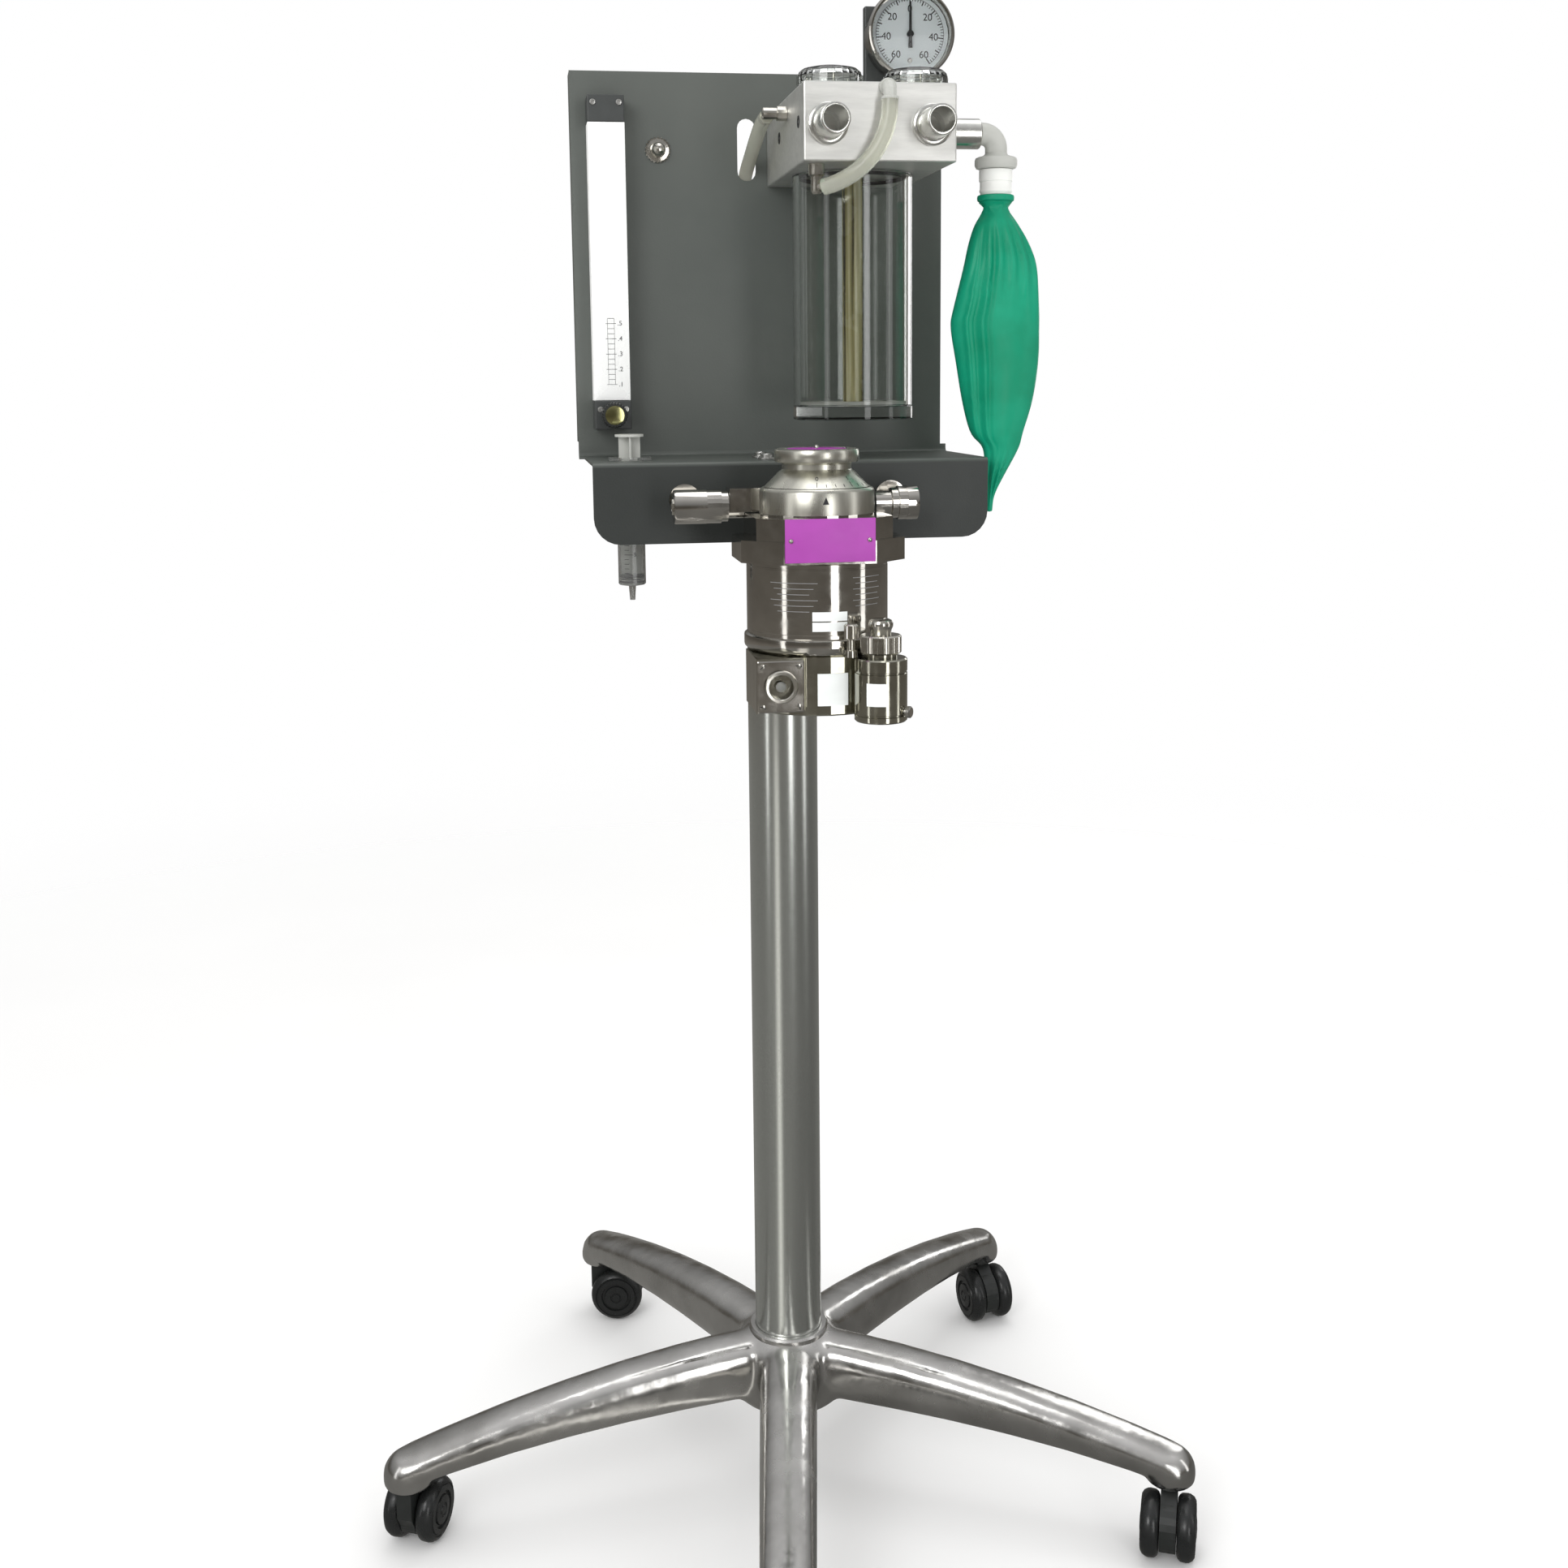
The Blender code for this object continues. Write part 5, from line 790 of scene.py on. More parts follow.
# ---------------------------------------------------------------- absorber head
def absorber():
    """Set screws, port rims and dome seats on the block; seals on the canister."""
    low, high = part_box("absorber_block")
    for index, (y, rise) in enumerate(((0.022, 0.030), (0.110, 0.030))):
        lathe(f"block_set_screw_{index}", [(0.0, -0.0008), (0.0018, -0.0008), (0.0020, 0.0004), (0.0042, 0.0004),
                                           (0.0046, 0.0), (0.0046, -0.0010), (0.0, -0.0010)],
              Vector((low.x, low.y + y, low.z + rise)), "ink", "stand", axis=(-1.0, 0.0, 0.0), sides=40)
    for side in ("inhale", "exhale"):
        port = middle(f"{side}_port")
        port_low, port_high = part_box(f"{side}_port")
        length = port_high.y - port_low.y
        piece = lathe(f"{side}_port_tube",
                      [(0.0090, length), (0.0098, length + 0.0001), (0.0108, length - 0.0004), (0.0110, length - 0.0014),
                       (0.0114, 0.0044), (0.0120, 0.0036), (0.0140, 0.0034), (0.0147, 0.0028), (0.0148, 0.0004),
                       (0.0146, 0.0), (0.0090, 0.0)],
                      Vector((port.x, port_high.y, port.z)), "port", "stand", axis=(0.0, -1.0, 0.0), ring=True)
        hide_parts(f"{side}_port")
        seat = middle(f"{side}_valve_disc")
        lathe(f"{side}_dome_ring", [(0.0190, 0.0002), (0.0205, 0.0002), (0.0205, 0.0030), (0.0190, 0.0034)],
              Vector((seat.x, seat.y, high.z)), "acrylic", f"{side}_dome", sides=64, ring=True)
        for pin in range(3):
            angle = math.tau * pin / 3 + 0.5
            lathe(f"{side}_valve_pin_{pin}", [(0.0, 0.0072), (0.0007, 0.0070), (0.0008, 0.0002), (0.0, 0.0002)],
                  Vector((seat.x + 0.0168 * math.cos(angle), seat.y + 0.0168 * math.sin(angle), high.z)),
                  "nickel", "stand", sides=16)
    tube_low, tube_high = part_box("canister_tube")
    centre = middle("canister_tube")
    radius = (tube_high.x - tube_low.x) / 2
    wall = 0.0050
    tube = lathe("canister_wall", [(radius - wall, tube_high.z), (radius - 0.0004, tube_high.z),
                                   (radius, tube_high.z - 0.0004), (radius, tube_low.z + 0.0004),
                                   (radius - 0.0004, tube_low.z), (radius - wall, tube_low.z)],
                 Vector((centre.x, centre.y, 0.0)), "acrylic", "canister", sides=128, ring=True)
    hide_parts("canister_tube")
    base_low, base_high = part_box("canister_base")
    plate = lathe("canister_floor", [(0.0, base_high.z), (radius, base_high.z), (radius + 0.0004, base_high.z - 0.0005),
                                     (radius + 0.0004, base_low.z + 0.0008), (radius - 0.0006, base_low.z),
                                     (0.0, base_low.z)],
                  Vector((centre.x, centre.y, 0.0)), "acrylic", "canister", sides=128)
    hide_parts("canister_base")
    for name, height, finish in (("canister_top_seal", tube_high.z - 0.0034, "ink"),
                                 ("canister_low_seal", tube_low.z + 0.0008, "milky")):
        lathe(name, [(radius - wall - 0.0018, height), (radius - wall - 0.0002, height),
                     (radius - wall - 0.0002, height + 0.0024), (radius - wall - 0.0018, height + 0.0024)],
              Vector((centre.x, centre.y, 0.0)), finish, "canister", sides=96, ring=True)
    inner_low, inner_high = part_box("canister_inner_tube")
    outer = (inner_high.x - inner_low.x) / 2
    tube = lathe("canister_core", [(outer - 0.002, inner_high.z), (outer, inner_high.z), (outer, inner_low.z),
                                   (outer - 0.002, inner_low.z)],
                 Vector((centre.x, centre.y, 0.0)), "core", "canister", sides=64, ring=True)
    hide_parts("canister_inner_tube")
    lathe("canister_core_foot", [(outer + 0.0001, inner_low.z + 0.0002), (outer + 0.0035, inner_low.z + 0.0002),
                                 (outer + 0.0030, inner_low.z + 0.0022), (outer + 0.0001, inner_low.z + 0.0030)],
          Vector((centre.x, centre.y, 0.0)), "milky", "canister", sides=64, ring=True)


# ---------------------------------------------------------------- bag side
def breathing_bag():
    """The rubber bag: a fine loft that a cloth simulation fills, with pleats below its neck."""
    joint = joint_named("bag_turn")
    axis = Vector(joint["pos_m"])
    low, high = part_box("breathing_bag")
    scale = (high.z - low.z) / 0.2430
    stations = [(0.0040, -0.0134, 0.0134, 1.0), (0.0075, -0.0104, 0.0104, 1.0), (0.0110, -0.0100, 0.0104, 1.0),
                (0.0150, -0.0115, 0.0125, 0.9), (0.0230, -0.0165, 0.0186, 0.78), (0.0370, -0.0210, 0.0270, 0.68),
                (0.0550, -0.0250, 0.0330, 0.62), (0.0850, -0.0330, 0.0352, 0.58), (0.0990, -0.0352, 0.0355, 0.56),
                (0.1250, -0.0312, 0.0352, 0.58), (0.1550, -0.0262, 0.0312, 0.60), (0.1800, -0.0195, 0.0242, 0.62),
                (0.1930, -0.0096, 0.0206, 0.62), (0.2150, -0.0080, 0.0090, 0.7), (0.2300, -0.0060, 0.0020, 0.9),
                (0.2425, -0.0048, -0.0002, 0.9)]
    depth_limit = (high.y - low.y) / 2
    rows = smooth_route([(left, right, drop) for drop, left, right, flat in stations], 5)
    flats = smooth_route([(flat, 0.0, drop) for drop, left, right, flat in stations], 5)
    around = 96
    shape = bmesh.new()
    loops = []
    for row, flat in zip(rows, flats):
        left, right, drop = row
        centre = (left + right) / 2
        half = (right - left) / 2
        depth = min(half * flat.x, depth_limit)
        loops.append([shape.verts.new((axis.x + centre + half * math.cos(math.tau * index / around),
                                       axis.y + depth * math.sin(math.tau * index / around),
                                       high.z - drop * scale)) for index in range(around)])
    for first, second in zip(loops, loops[1:]):
        for index in range(around):
            after = (index + 1) % around
            shape.faces.new((first[index], first[after], second[after], second[index]))
    shape.faces.new(loops[0])
    shape.faces.new(loops[-1])
    mesh = mesh_from("rubber_bag", shape)
    mesh = filled(mesh, 0.0022)
    span = high.z - low.z
    for vertex in mesh.vertices:
        place = vertex.co
        share = (high.z - place.z) / span
        row = min(rows, key=lambda item: abs(item.z * scale - (high.z - place.z)))
        across = (place.x - axis.x - row.x) / (row.y - row.x)
        frontness = min(1.0, abs(place.y - axis.y) / 0.004)
        long_fold = math.exp(-((share - 0.46) / 0.30) ** 4)
        wave = 0.0
        for centre, depth in ((0.10, 0.0024), (0.19, -0.0022), (0.26, 0.0030), (0.33, -0.0018)):
            wave += depth * long_fold * math.exp(-((across - centre - 0.03 * math.sin(5.0 * share)) / 0.024) ** 2)
        crease = math.exp(-((share - 0.20) / 0.10) ** 2)
        wave += 0.0015 * crease * math.sin(34.0 * across) + 0.0006 * math.sin(9.0 * share + 4.0 * across)
        wave += 0.0010 * math.exp(-((share - 0.88) / 0.07) ** 2) * math.sin(26.0 * across)
        neck = min(1.0, max(0.0, (share - 0.05) / 0.06)) * min(1.0, max(0.0, (1.0 - share) / 0.04))
        toward = -1.0 if place.y < axis.y else 1.0
        vertex.co = place + Vector((0.0, toward * wave * neck * frontness, 0.0))
    piece = add("rubber_bag", mesh, "rubber", "bag", 0.0)
    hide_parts("breathing_bag")
    lathe("bag_neck_ring", [(0.0090, 0.0), (0.0132, 0.0), (0.0140, -0.0006), (0.0142, -0.0022), (0.0140, -0.0040),
                            (0.0130, -0.0048), (0.0104, -0.0054), (0.0090, -0.0054)],
          Vector((axis.x, axis.y, high.z)), "rubber", "bag", sides=72, ring=True)


def filled(mesh, cap):
    """The mesh blown up a little by a cloth simulation, each point moving at most `cap`."""
    soft = bpy.data.objects.new("soft", mesh)
    bpy.context.scene.collection.objects.link(soft)
    rest = [vertex.co.copy() for vertex in mesh.vertices]
    cloth = soft.modifiers.new("cloth", "CLOTH")
    cloth.settings.use_pressure = True
    cloth.settings.uniform_pressure_force = 4.0
    cloth.settings.effector_weights.gravity = 0.0
    cloth.settings.quality = 6
    cloth.settings.bending_stiffness = 2.0
    cloth.point_cache.frame_start = 1
    cloth.point_cache.frame_end = 20
    scene = bpy.context.scene
    for step in range(1, 21):
        scene.frame_set(step)
    moved = soft.evaluated_get(bpy.context.evaluated_depsgraph_get()).data
    places = [vertex.co.copy() for vertex in moved.vertices]
    soft.modifiers.clear()
    for vertex, start, end in zip(mesh.vertices, rest, places):
        shift = end - start
        if shift.length > cap:
            shift *= cap / shift.length
        vertex.co = start + shift
    scene.frame_set(1)
    relax = soft.modifiers.new("relax", "SMOOTH")
    relax.factor = 0.5
    relax.iterations = 3
    finer = soft.modifiers.new("finer", "SUBSURF")
    finer.levels = 1
    finer.render_levels = 1
    return evaluated("soft_result", soft)


def bag_elbow():
    """Moulded elbow with a smooth bend, its rim on the port and the round flange above the connector."""
    low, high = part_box("bag_elbow")
    port = middle("bag_port")
    flange = (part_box("bag_elbow")[1].x - joint_named("bag_turn")["pos_m"][0])
    x = high.x - flange
    radius = 0.0084
    bend = 0.0110
    points = [Vector((low.x, port.y, port.z)), Vector((x - bend, port.y, port.z))]
    for step in range(1, 13):
        turn = math.pi / 2 * step / 12
        points.append(Vector((x - bend + bend * math.sin(turn), port.y, port.z - bend + bend * math.cos(turn))))
    points.append(Vector((x, port.y, SHELF + 0.2200)))
    shape = bmesh.new()
    loops = []
    sides = 64
    for index, point in enumerate(points):
        before = points[max(index - 1, 0)]
        after = points[min(index + 1, len(points) - 1)]
        along = (after - before).normalized()
        across = Vector((0.0, 1.0, 0.0))
        above = along.cross(across)
        loops.append([shape.verts.new(point + radius * (math.cos(math.tau * side / sides) * across
                                                        + math.sin(math.tau * side / sides) * above))
                      for side in range(sides)])
    for first, second in zip(loops, loops[1:]):
        for index in range(sides):
            after = (index + 1) % sides
            shape.faces.new((first[index], first[after], second[after], second[index]))
    shape.faces.new(loops[0])
    shape.faces.new(loops[-1])
    elbow = add("elbow_tube", mesh_from("elbow_tube", shape), "milky", "elbow", 50.0)
    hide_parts("bag_elbow")
    lathe("elbow_rim", [(radius - 0.0004, 0.0), (radius + 0.0012, 0.0), (radius + 0.0014, 0.0006),
                        (radius + 0.0014, 0.0026), (radius + 0.0010, 0.0032), (radius - 0.0004, 0.0036)],
          Vector((low.x, port.y, port.z)), "milky", "elbow", axis=(1.0, 0.0, 0.0), ring=True)
    top = SHELF + 0.2271
    rim = lathe("elbow_flange", [(radius - 0.0004, top + 0.0034), (radius + 0.0010, top + 0.0014),
                                 (radius + 0.0040, top + 0.0002), (flange - 0.0024, top), (flange - 0.0006, top - 0.0008),
                                 (flange, top - 0.0024), (flange, top - 0.0062), (flange - 0.0010, top - 0.0082),
                                 (flange - 0.0030, top - 0.0089), (radius - 0.0004, top - 0.0089)],
                Vector((x, port.y, 0.0)), "milky", "elbow", ring=True)
    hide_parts("bag_elbow")


def bag_fittings():
    """Turned satin bag port, and the connector's ribs."""
    low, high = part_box("bag_port")
    radius = (high.z - low.z) / 2 - 0.0012
    centre = middle("bag_port")
    length = high.x - low.x
    port = lathe("bag_port_tube", [(0.0082, length), (radius - 0.0006, length), (radius, length - 0.0007),
                                   (radius, 0.0030), (radius + 0.0010, 0.0022), (radius + 0.0012, 0.0004),
                                   (radius + 0.0010, 0.0), (0.0082, 0.0)],
                 Vector((low.x, centre.y, centre.z)), "port", "stand", axis=(1.0, 0.0, 0.0), ring=True)
    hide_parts("bag_port")
    low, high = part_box("bag_connector")
    centre = middle("bag_connector")
    radius = (high.x - low.x) / 2
    length = high.z - low.z
    sleeve = lathe("bag_sleeve", [(0.0, length), (radius - 0.0004, length), (radius, length - 0.0006),
                                  (radius, length - 0.0086), (radius - 0.0007, length - 0.0092),
                                  (radius - 0.0007, 0.0040), (radius - 0.0003, 0.0034), (radius - 0.0003, 0.0022),
                                  (radius - 0.0008, 0.0016), (radius - 0.0012, 0.0), (0.0, 0.0)],
                   Vector((centre.x, centre.y, low.z)), "white", "bag", sides=96)
    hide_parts("bag_connector")


# ---------------------------------------------------------------- manometer
def manometer():
    """Scale from -60 to 60 with numbers, zero screw, and a polished rim round the lens."""
    dial_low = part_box("manometer_dial")[0]
    centre = middle("manometer_dial")
    face = dial_low.y
    case_low, case_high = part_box("manometer_case")
    radius = (case_high.x - case_low.x) / 2
    depth = case_high.y - case_low.y
    case = lathe("manometer_shell",
                 [(0.0, depth - 0.0104), (radius - 0.0032, depth - 0.0104), (radius - 0.0032, depth - 0.0014),
                  (radius - 0.0028, depth - 0.0003), (radius - 0.0014, depth), (radius - 0.0003, depth - 0.0009),
                  (radius, depth - 0.0024), (radius, depth - 0.0060), (radius - 0.0004, depth - 0.0070),
                  (radius - 0.0014, depth - 0.0076), (radius - 0.0016, 0.0030), (radius - 0.0024, 0.0012),
                  (radius - 0.0040, 0.0), (0.0, 0.0)],
                 Vector((centre.x, case_high.y, centre.z)), "chrome", "stand", axis=(0.0, -1.0, 0.0), sides=128)
    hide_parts("manometer_case")
    per_unit = math.radians(2.4)
    rim = 0.0262
    shape = bmesh.new()
    numbers = []
    for value in range(-60, 61, 2):
        turn = value * per_unit
        length = 0.0046 if value % 20 == 0 else 0.0036 if value % 10 == 0 else 0.0022
        thick = 0.00040 if value % 10 == 0 else 0.00022
        verts = slab(shape, (-thick, face - 0.00025, rim - length), (thick, face - 0.00005, rim))
        bmesh.ops.rotate(shape, verts=verts, cent=(0.0, 0.0, 0.0), matrix=Matrix.Rotation(turn, 3, "Y"))
        bmesh.ops.translate(shape, verts=verts, vec=(centre.x, 0.0, centre.z))
        if value % 20 == 0:
            reach = rim - 0.0078
            place = Vector((centre.x + reach * math.sin(turn), face - 0.00015, centre.z + reach * math.cos(turn)))
            numbers.append((str(abs(value)), Matrix.Translation(place) @ UPRIGHT))
    arc_steps = 120
    for step in range(arc_steps):
        turn = math.radians(-144 + 288 * (step + 0.5) / arc_steps)
        wide = rim * math.radians(288 / arc_steps) / 2 * 1.05
        verts = slab(shape, (-wide, face - 0.00025, rim - 0.00012), (wide, face - 0.00005, rim + 0.00012))
        bmesh.ops.rotate(shape, verts=verts, cent=(0.0, 0.0, 0.0), matrix=Matrix.Rotation(turn, 3, "Y"))
        bmesh.ops.translate(shape, verts=verts, vec=(centre.x, 0.0, centre.z))
    add("manometer_scale", mesh_from("manometer_scale", shape), "ink", "stand")
    lettering("manometer_numbers", numbers, 0.0074, "ink", "stand", 0.0001)
    lathe("manometer_zero_screw", [(0.0, 0.0006), (0.0008, 0.0006), (0.0010, 0.0010), (0.0018, 0.0008),
                                   (0.0020, 0.0), (0.0, 0.0)],
          Vector((centre.x, face, centre.z - 0.0190)), "zinc", "stand", axis=(0.0, -1.0, 0.0), sides=32)


# ---------------------------------------------------------------- vaporizer
def vaporizer_dial(axis):
    """Brushed cap with its purple disc, and a cone with ticks and numbers."""
    low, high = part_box("vaporizer_dial")
    cap = 0.0305
    neck = 0.0250
    ring = 0.0382
    neck_low = SHELF - 0.0044
    profile = [(0.0, high.z - 0.0008), (cap - 0.0075, high.z - 0.0008), (cap - 0.0072, high.z - 0.0001),
               (cap - 0.0020, high.z), (cap - 0.0006, high.z - 0.0006), (cap, high.z - 0.0020),
               (cap, SHELF + 0.0036), (cap - 0.0008, SHELF + 0.0024), (neck + 0.0010, SHELF + 0.0018),
               (neck, SHELF + 0.0008), (neck, neck_low + 0.0016), (neck + 0.0008, neck_low + 0.0006),
               (neck + 0.0020, neck_low), (ring - 0.0010, low.z + 0.0010), (ring, low.z + 0.0002), (0.0, low.z)]
    dial = lathe("dial_turned", profile, Vector((axis.x, axis.y, 0.0)), "dial_metal", "dial", sides=144)
    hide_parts("vaporizer_dial")
    lathe("dial_disc", [(0.0, 0.0008), (0.0208, 0.0008), (0.0214, 0.0004), (0.0214, 0.0), (0.0, 0.0)],
          Vector((axis.x, axis.y, high.z - 0.0008)), "purple", "dial", sides=96)
    lathe("dial_pin", [(0.0, 0.0026), (0.0009, 0.0024), (0.0013, 0.0016), (0.0013, 0.0), (0.0, 0.0)],
          Vector((axis.x, axis.y, high.z)), "nickel", "dial", sides=32)
    outer = Vector((ring - 0.0010, low.z + 0.0010))
    inner = Vector((neck + 0.0020, neck_low))
    slope = math.atan2(inner.y - outer.y, outer.x - inner.x)
    shape = bmesh.new()
    numbers = []
    labels = {0: "0", 4: "1", 8: "2", 12: "3", 16: "4", 20: "5"}
    for index in range(25):
        angle = math.radians(-100 + index * 10.8)
        long_tick = index % 4 == 0
        reach = 0.0046 if long_tick else 0.0026
        spin = Matrix.Rotation(angle + math.pi / 2, 4, "Z")
        spot = Vector((axis.x + outer.x * math.cos(angle), axis.y + outer.x * math.sin(angle), outer.y))
        lay = Matrix.Translation(spot) @ spin @ Matrix.Rotation(slope, 4, "X")
        verts = slab(shape, (-0.00022, 0.0004, -0.00005), (0.00022, 0.0004 + reach, 0.00012))
        bmesh.ops.transform(shape, matrix=lay, verts=verts)
        if index in labels:
            numbers.append((labels[index], lay @ Matrix.Translation((0.0, 0.0082, 0.00008))))
    add("dial_ticks", mesh_from("dial_ticks", shape), "ink", "dial")
    lettering("dial_numbers", numbers, 0.0050, "ink", "dial", 0.00008)


def vaporizer(axis):
    """Index ring, label plate, turned body, band, sight glass, filler caps and blank stickers."""
    front = -100.2
    ring_top = SHELF - 0.0158
    crown_top = SHELF - 0.0348
    ring = 0.04125
    place = Vector((axis.x, axis.y, 0.0))
    lathe("index_ring", [(ring - 0.0060, ring_top - 0.0001), (ring - 0.0018, ring_top + 0.0001),
                         (ring - 0.0006, ring_top - 0.0008), (ring + 0.0002, ring_top - 0.0026),
                         (ring + 0.0003, crown_top + 0.0008), (ring - 0.0060, crown_top + 0.0004)],
          place, "dial_metal", "stand", sides=144, ring=True)
    shape = bmesh.new()
    turn = math.radians(front + 9)
    out = Vector((math.cos(turn), math.sin(turn), 0.0))
    side = Vector((-out.y, out.x, 0.0))
    base = place + out * (ring + 0.0003) + Vector((0.0, 0.0, ring_top - 0.0060))
    corners = [base + side * across + Vector((0.0, 0.0, rise)) for across, rise in
               ((-0.0022, -0.0042), (0.0022, -0.0042), (0.0, 0.0010))]
    back = [shape.verts.new(corner - out * 0.0006) for corner in corners]
    fore = [shape.verts.new(corner + out * 0.0002) for corner in corners]
    shape.faces.new(back)
    shape.faces.new(fore)
    for index in range(3):
        after = (index + 1) % 3
        shape.faces.new((back[index], back[after], fore[after], fore[index]))
    add("index_mark", mesh_from("index_mark", shape), "ink", "stand")

    low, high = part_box("vaporizer_label")
    plate = box("label_plate", low, (high.x, high.y - 0.0001, high.z), "purple", "stand", 0.00035)
    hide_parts("vaporizer_label")
    for name, x in (("left", low.x + 0.0042), ("right", high.x - 0.0042)):
        lathe(f"label_rivet_{name}", [(0.0, 0.0011), (0.0008, 0.0010), (0.0014, 0.0006), (0.0017, 0.0), (0.0, 0.0)],
              Vector((x, low.y, (low.z + high.z) / 2)), "nickel", "stand", axis=(0.0, -1.0, 0.0), sides=32)

    body_low, body_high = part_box("vaporizer_body")
    band = (body_high.x - body_low.x) / 2
    body = 0.0510
    band_top = SHELF - 0.1204
    turned = lathe("vapor_body", [(0.0, body_high.z), (body - 0.0006, body_high.z), (body, body_high.z - 0.0006),
                                  (body, body_high.z - 0.0030), (body - 0.0003, body_high.z - 0.0033),
                                  (body - 0.0003, body_high.z - 0.0041), (body, body_high.z - 0.0044),
                                  (body, band_top + 0.0034), (body - 0.0004, band_top + 0.0030),
                                  (body - 0.0004, band_top + 0.0004), (band - 0.0012, band_top + 0.0001),
                                  (band - 0.0002, band_top - 0.0006), (band, band_top - 0.0016),
                                  (band, body_low.z + 0.0030), (band - 0.0004, body_low.z + 0.0016),
                                  (band - 0.0020, body_low.z), (0.0, body_low.z)],
                   place, "chrome", "stand", sides=160)
    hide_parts("vaporizer_body")
    for index in range(2):
        base = SHELF - 0.1141 + index * 0.0073
        patch(f"body_plate_{index}", axis, body, front + 10, 0.0250, base, base + 0.0064, "sticker", "stand", 0.0003)
    for index in range(6):
        height = body_high.z - 0.0130 - index * 0.0040
        patch(f"body_line_left_{index}", axis, body, front - 20, 0.036 - 0.006 * (index % 3), height - 0.00022,
              height + 0.00022, "grey_ink", "stand", 0.00012)
        patch(f"body_line_right_{index}", axis, body, front + 44, 0.026 - 0.004 * (index % 2), height + 0.0030,
              height + 0.00344, "grey_ink", "stand", 0.00012)

    lower = 0.0515
    for index, (angle, wide, bottom, top) in enumerate(((front + 12, 0.0220, -0.1670, -0.1440),
                                                        (front + 152, 0.0400, -0.1660, -0.1400),
                                                        (front + 215, 0.0180, -0.1640, -0.1420))):
        patch(f"blank_sticker_{index}", axis, lower, angle, wide, SHELF + bottom, SHELF + top, "sticker", "stand",
              0.0003)

    sight_glass()
    filler(axis)
    side_port_rings()


def sight_glass():
    """Bezel, glass, a milky float for the liquid level and four slotted screws on the sight plate."""
    low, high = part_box("sight_glass_plate")
    centre = (low + high) / 2
    face = low.y
    middle_z = centre.z
    lathe("sight_ring", [(0.0086, 0.0006), (0.0092, 0.0012), (0.0108, 0.0013), (0.0116, 0.0006), (0.0118, -0.0012),
                         (0.0086, -0.0012)],
          Vector((centre.x, face, middle_z)), "nickel", "stand", axis=(0.0, -1.0, 0.0), ring=True)
    lathe("sight_pane", [(0.0, 0.0), (0.0088, 0.0), (0.0088, -0.0010), (0.0, -0.0010)],
          Vector((centre.x, face, middle_z)), "lens", "stand", axis=(0.0, -1.0, 0.0), sides=64)
    lathe("sight_float", [(0.0, 0.0008), (0.0028, 0.0006), (0.0036, 0.0), (0.0, 0.0)],
          Vector((centre.x, face + 0.0024, middle_z)), "milky", "stand", axis=(0.0, -1.0, 0.0), sides=48)
    plate_front = face + 0.0032
    reach_x = (high.x - low.x) / 2 - 0.0040
    reach_z = (high.z - low.z) / 2 - 0.0042
    for index, (x, z, turn) in enumerate(((-1, -1, 20), (1, -1, 70), (-1, 1, -35), (1, 1, 10))):
        spot = Vector((centre.x + x * reach_x, plate_front, middle_z + z * reach_z))
        lathe(f"sight_screw_{index}", [(0.0, 0.0014), (0.0018, 0.0013), (0.0025, 0.0009), (0.0028, 0.0), (0.0, 0.0)],
              spot, "nickel", "stand", axis=(0.0, -1.0, 0.0), sides=40)
        lay = Matrix.Translation(spot) @ Matrix.Rotation(math.radians(turn), 4, "Y")
        marks(f"sight_screw_slot_{index}", [((-0.0023, -0.00145, -0.0003), (0.0023, -0.0009, 0.0003))], "ink", "stand",
              lay)


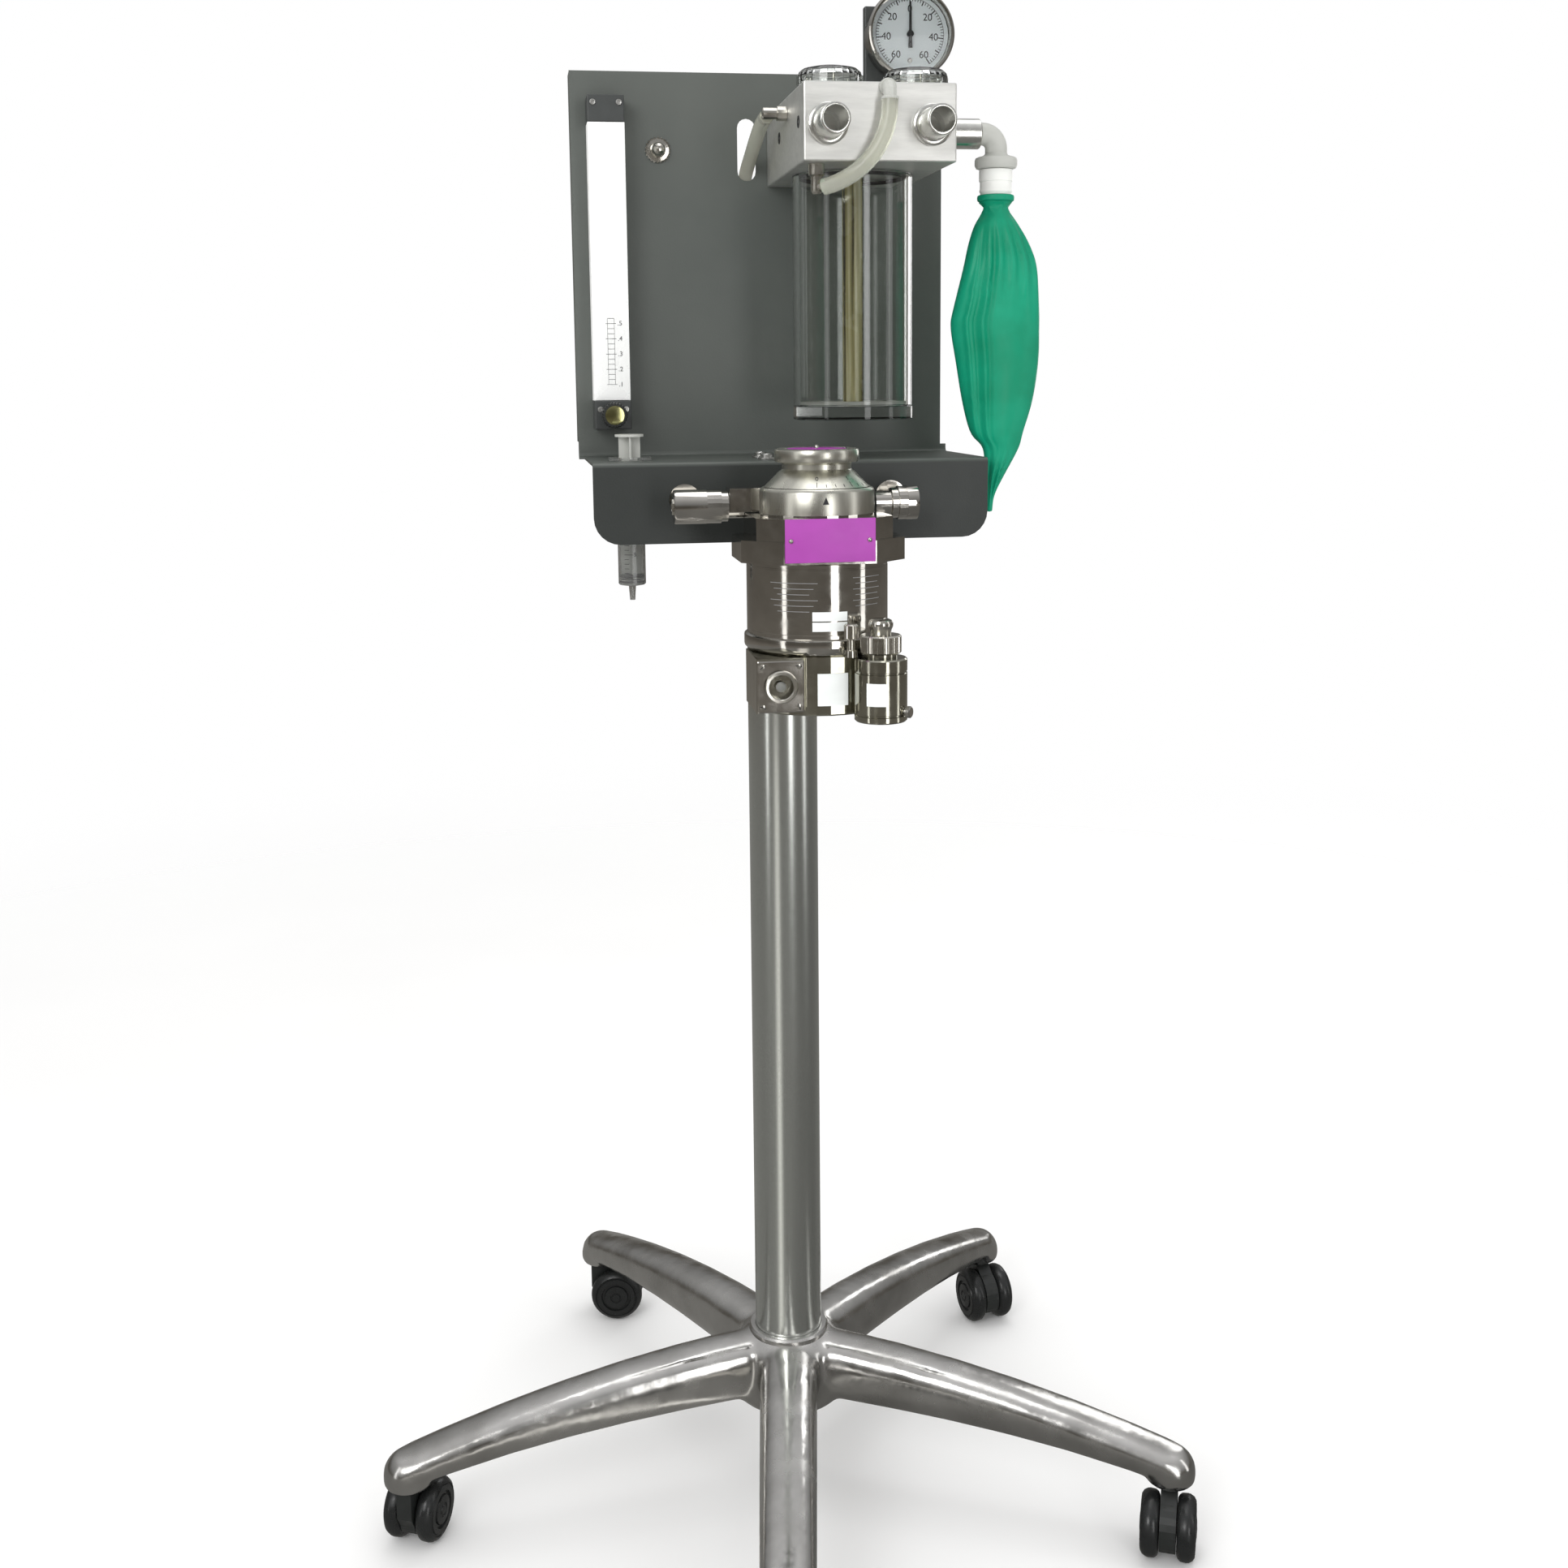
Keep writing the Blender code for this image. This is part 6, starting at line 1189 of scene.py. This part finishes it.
def filler(axis):
    """Knurled filler cap and knob, the tower's turned body, and the small knurled screw beside it."""
    cap_low, cap_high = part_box("vaporizer_filler_cap")
    centre = middle("vaporizer_filler_cap")
    place = Vector((centre.x, centre.y, 0.0))
    cap_top = SHELF - 0.1159
    grip = knurl("filler_cap_grip", 0.0145, cap_low.z, cap_top, place, "nickel", "filler_cap", teeth=44)
    knob = lathe("filler_cap_knob", [(0.0, cap_high.z), (0.0058, cap_high.z), (0.0078, cap_high.z - 0.0010),
                                     (0.0087, cap_high.z - 0.0030), (0.0086, cap_high.z - 0.0052),
                                     (0.0076, cap_high.z - 0.0074), (0.0070, cap_top - 0.0004), (0.0, cap_top - 0.0004)],
                 place, "nickel", "filler_cap", sides=72)
    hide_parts("vaporizer_filler_cap")
    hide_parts("vaporizer_filler_cap")
    tower_low, tower_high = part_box("vaporizer_filler_block")
    radius = (tower_high.x - tower_low.x) / 2
    top = SHELF - 0.1319
    tower = lathe("filler_tower", [(0.0, top + 0.0028), (0.0114, top + 0.0028), (0.0114, top), (radius - 0.0010, top),
                                   (radius, top - 0.0010), (radius, top - 0.0090), (radius - 0.0006, top - 0.0094),
                                   (radius - 0.0006, top - 0.0102), (radius, top - 0.0106),
                                   (radius, tower_low.z + 0.0060), (radius - 0.0006, tower_low.z + 0.0056),
                                   (radius - 0.0006, tower_low.z + 0.0048), (radius, tower_low.z + 0.0044),
                                   (radius, tower_low.z + 0.0010), (radius - 0.0010, tower_low.z),
                                   (0.0, tower_low.z)],
                  place, "dark_chrome", "stand", sides=96)
    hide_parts("vaporizer_filler_block")
    patch("filler_sticker", Vector((centre.x, centre.y)), radius, -112, 0.0140, SHELF - 0.1640, SHELF - 0.1480,
          "sticker", "stand", 0.0003)
    small = Vector((axis.x + 0.0130, axis.y - 0.0592, 0.0))
    knurl("fill_screw_grip", 0.0050, SHELF - 0.1190, SHELF - 0.1080, small, "nickel", "stand", teeth=22, depth=0.0004)
    lathe("fill_screw_stem", [(0.0, SHELF - 0.1188), (0.0028, SHELF - 0.1188), (0.0028, SHELF - 0.1262),
                              (0.0044, SHELF - 0.1264), (0.0046, SHELF - 0.1312), (0.0, SHELF - 0.1312)],
          small, "nickel", "stand", sides=40)
    box("fill_screw_lug", (small.x - 0.0044, small.y, SHELF - 0.1308), (small.x + 0.0044, axis.y - 0.0500, SHELF - 0.1268),
        "dark_chrome", "stand", 0.0006)


def side_port_rings():
    """Smooth barrels over the ports' cylinders, and the bright collars that hold them."""
    for name, side in (("left", -1.0), ("right", 1.0)):
        low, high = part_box(f"vaporizer_{name}_port")
        z = SHELF - 0.0309
        y = ORIGIN.y - 0.0800
        end = low.x if side < 0 else high.x
        place = Vector((end, y, z))
        length = 0.0235 if side < 0 else 0.0085
        lathe(f"{name}_port_barrel", [(0.0, 0.0002), (0.0080, 0.0002), (0.0084, -0.0002), (0.0112, -0.0001),
                                      (0.0124, 0.0), (0.01265, -0.0014), (0.01265, -length), (0.0110, -length)],
              place, "chrome", "stand", axis=(side, 0.0, 0.0), sides=112)
        lathe(f"{name}_port_socket", [(0.0, 0.0004), (0.0030, 0.0004), (0.0034, 0.0016), (0.0052, 0.0016),
                                      (0.0058, 0.0010), (0.0058, 0.0001), (0.0, 0.0001)],
              place, "nickel", "stand", axis=(side, 0.0, 0.0), sides=6)


def floor():
    """A pale round floor that fades into the white room."""
    shape = bmesh.new()
    bmesh.ops.create_circle(shape, cap_ends=True, radius=3.2, segments=96)
    ground = bpy.data.objects.new("floor", mesh_from("floor", shape))
    bpy.context.scene.collection.objects.link(ground)
    paint = Paint("floor_paper")
    paint.colours(paint.noise(1.5), (0.3, (0.90, 0.90, 0.90)), (0.7, (0.93, 0.93, 0.93)))
    paint.rough(paint.noise(4.0), 0.75, 0.85)
    tree = paint.tree
    reach = tree.nodes.new("ShaderNodeVectorMath")
    reach.operation = "LENGTH"
    tree.links.new(paint.place, reach.inputs[0])
    fade = tree.nodes.new("ShaderNodeMapRange")
    fade.interpolation_type = "SMOOTHSTEP"
    fade.inputs["From Min"].default_value = 0.9
    fade.inputs["From Max"].default_value = 2.9
    fade.inputs["To Min"].default_value = 1.0
    fade.inputs["To Max"].default_value = 0.0
    tree.links.new(reach.outputs["Value"], fade.inputs["Value"])
    tree.links.new(fade.outputs["Result"], paint.shader.inputs["Alpha"])
    # Painted reflection: to glossy rays the floor glows instead of being lit, dim grey with one bright wedge left of
    # the camera that the metal shows as a pale strip.
    split = tree.nodes.new("ShaderNodeSeparateXYZ")
    tree.links.new(paint.place, split.inputs[0])
    bearing = tree.nodes.new("ShaderNodeMath")
    bearing.operation = "ARCTAN2"
    tree.links.new(split.outputs["X"], bearing.inputs[0])
    tree.links.new(split.outputs["Y"], bearing.inputs[1])
    reflection_glow_ramp = tree.nodes.new("ShaderNodeValToRGB")
    turn = paint.spread(bearing.outputs["Value"], 0.0, 1.0, -math.pi, math.pi)
    tree.links.new(turn, reflection_glow_ramp.inputs["Fac"])
    stops = ((0.0, 0.22), (0.060, 0.20), (0.075, 1.0), (0.098, 1.0), (0.115, 0.24), (0.24, 0.20), (0.5, 0.26),
             (0.74, 0.13), (0.93, 0.16), (1.0, 0.22))
    while len(reflection_glow_ramp.color_ramp.elements) < len(stops):
        reflection_glow_ramp.color_ramp.elements.new(0.5)
    for element, (position, bright) in zip(reflection_glow_ramp.color_ramp.elements, stops):
        element.position = position
        element.color = (bright, bright * 0.98, bright * 0.93, 1.0)
    # Emission seen only by glossy rays: a painted reflection, not a lamp.
    shown = tree.nodes.new("ShaderNodeEmission")
    tree.links.new(reflection_glow_ramp.outputs["Color"], shown.inputs["Color"])
    path = tree.nodes.new("ShaderNodeLightPath")
    choice = tree.nodes.new("ShaderNodeMixShader")
    output = tree.nodes["Material Output"]
    tree.links.new(path.outputs["Is Glossy Ray"], choice.inputs["Fac"])
    tree.links.new(paint.shader.outputs["BSDF"], choice.inputs[1])
    tree.links.new(shown.outputs["Emission"], choice.inputs[2])
    tree.links.new(choice.outputs["Shader"], output.inputs["Surface"])
    ground.data.materials.append(paint.material)


camera()
studio()
floor()
finish_nodes()
hose("loop_hose_line", LOOP_ROUTE, 0.0060, "hose", "stand", "loop_hose")
hose("gas_hose_line", GAS_ROUTE, 0.0055, "hose", "stand", "fresh_gas_hose")
hose_ends()
cast_base()
column()
for number in range(1, 6):
    caster_wheels(number)
panel_fittings()
flowmeter()
syringe()
absorber()
bag_elbow()
bag_fittings()
breathing_bag()
manometer()
VAPORIZER_AXIS = middle("vaporizer_body")
vaporizer_dial(VAPORIZER_AXIS)
vaporizer(VAPORIZER_AXIS)
bpy.context.scene.view_settings.view_transform = "Standard"
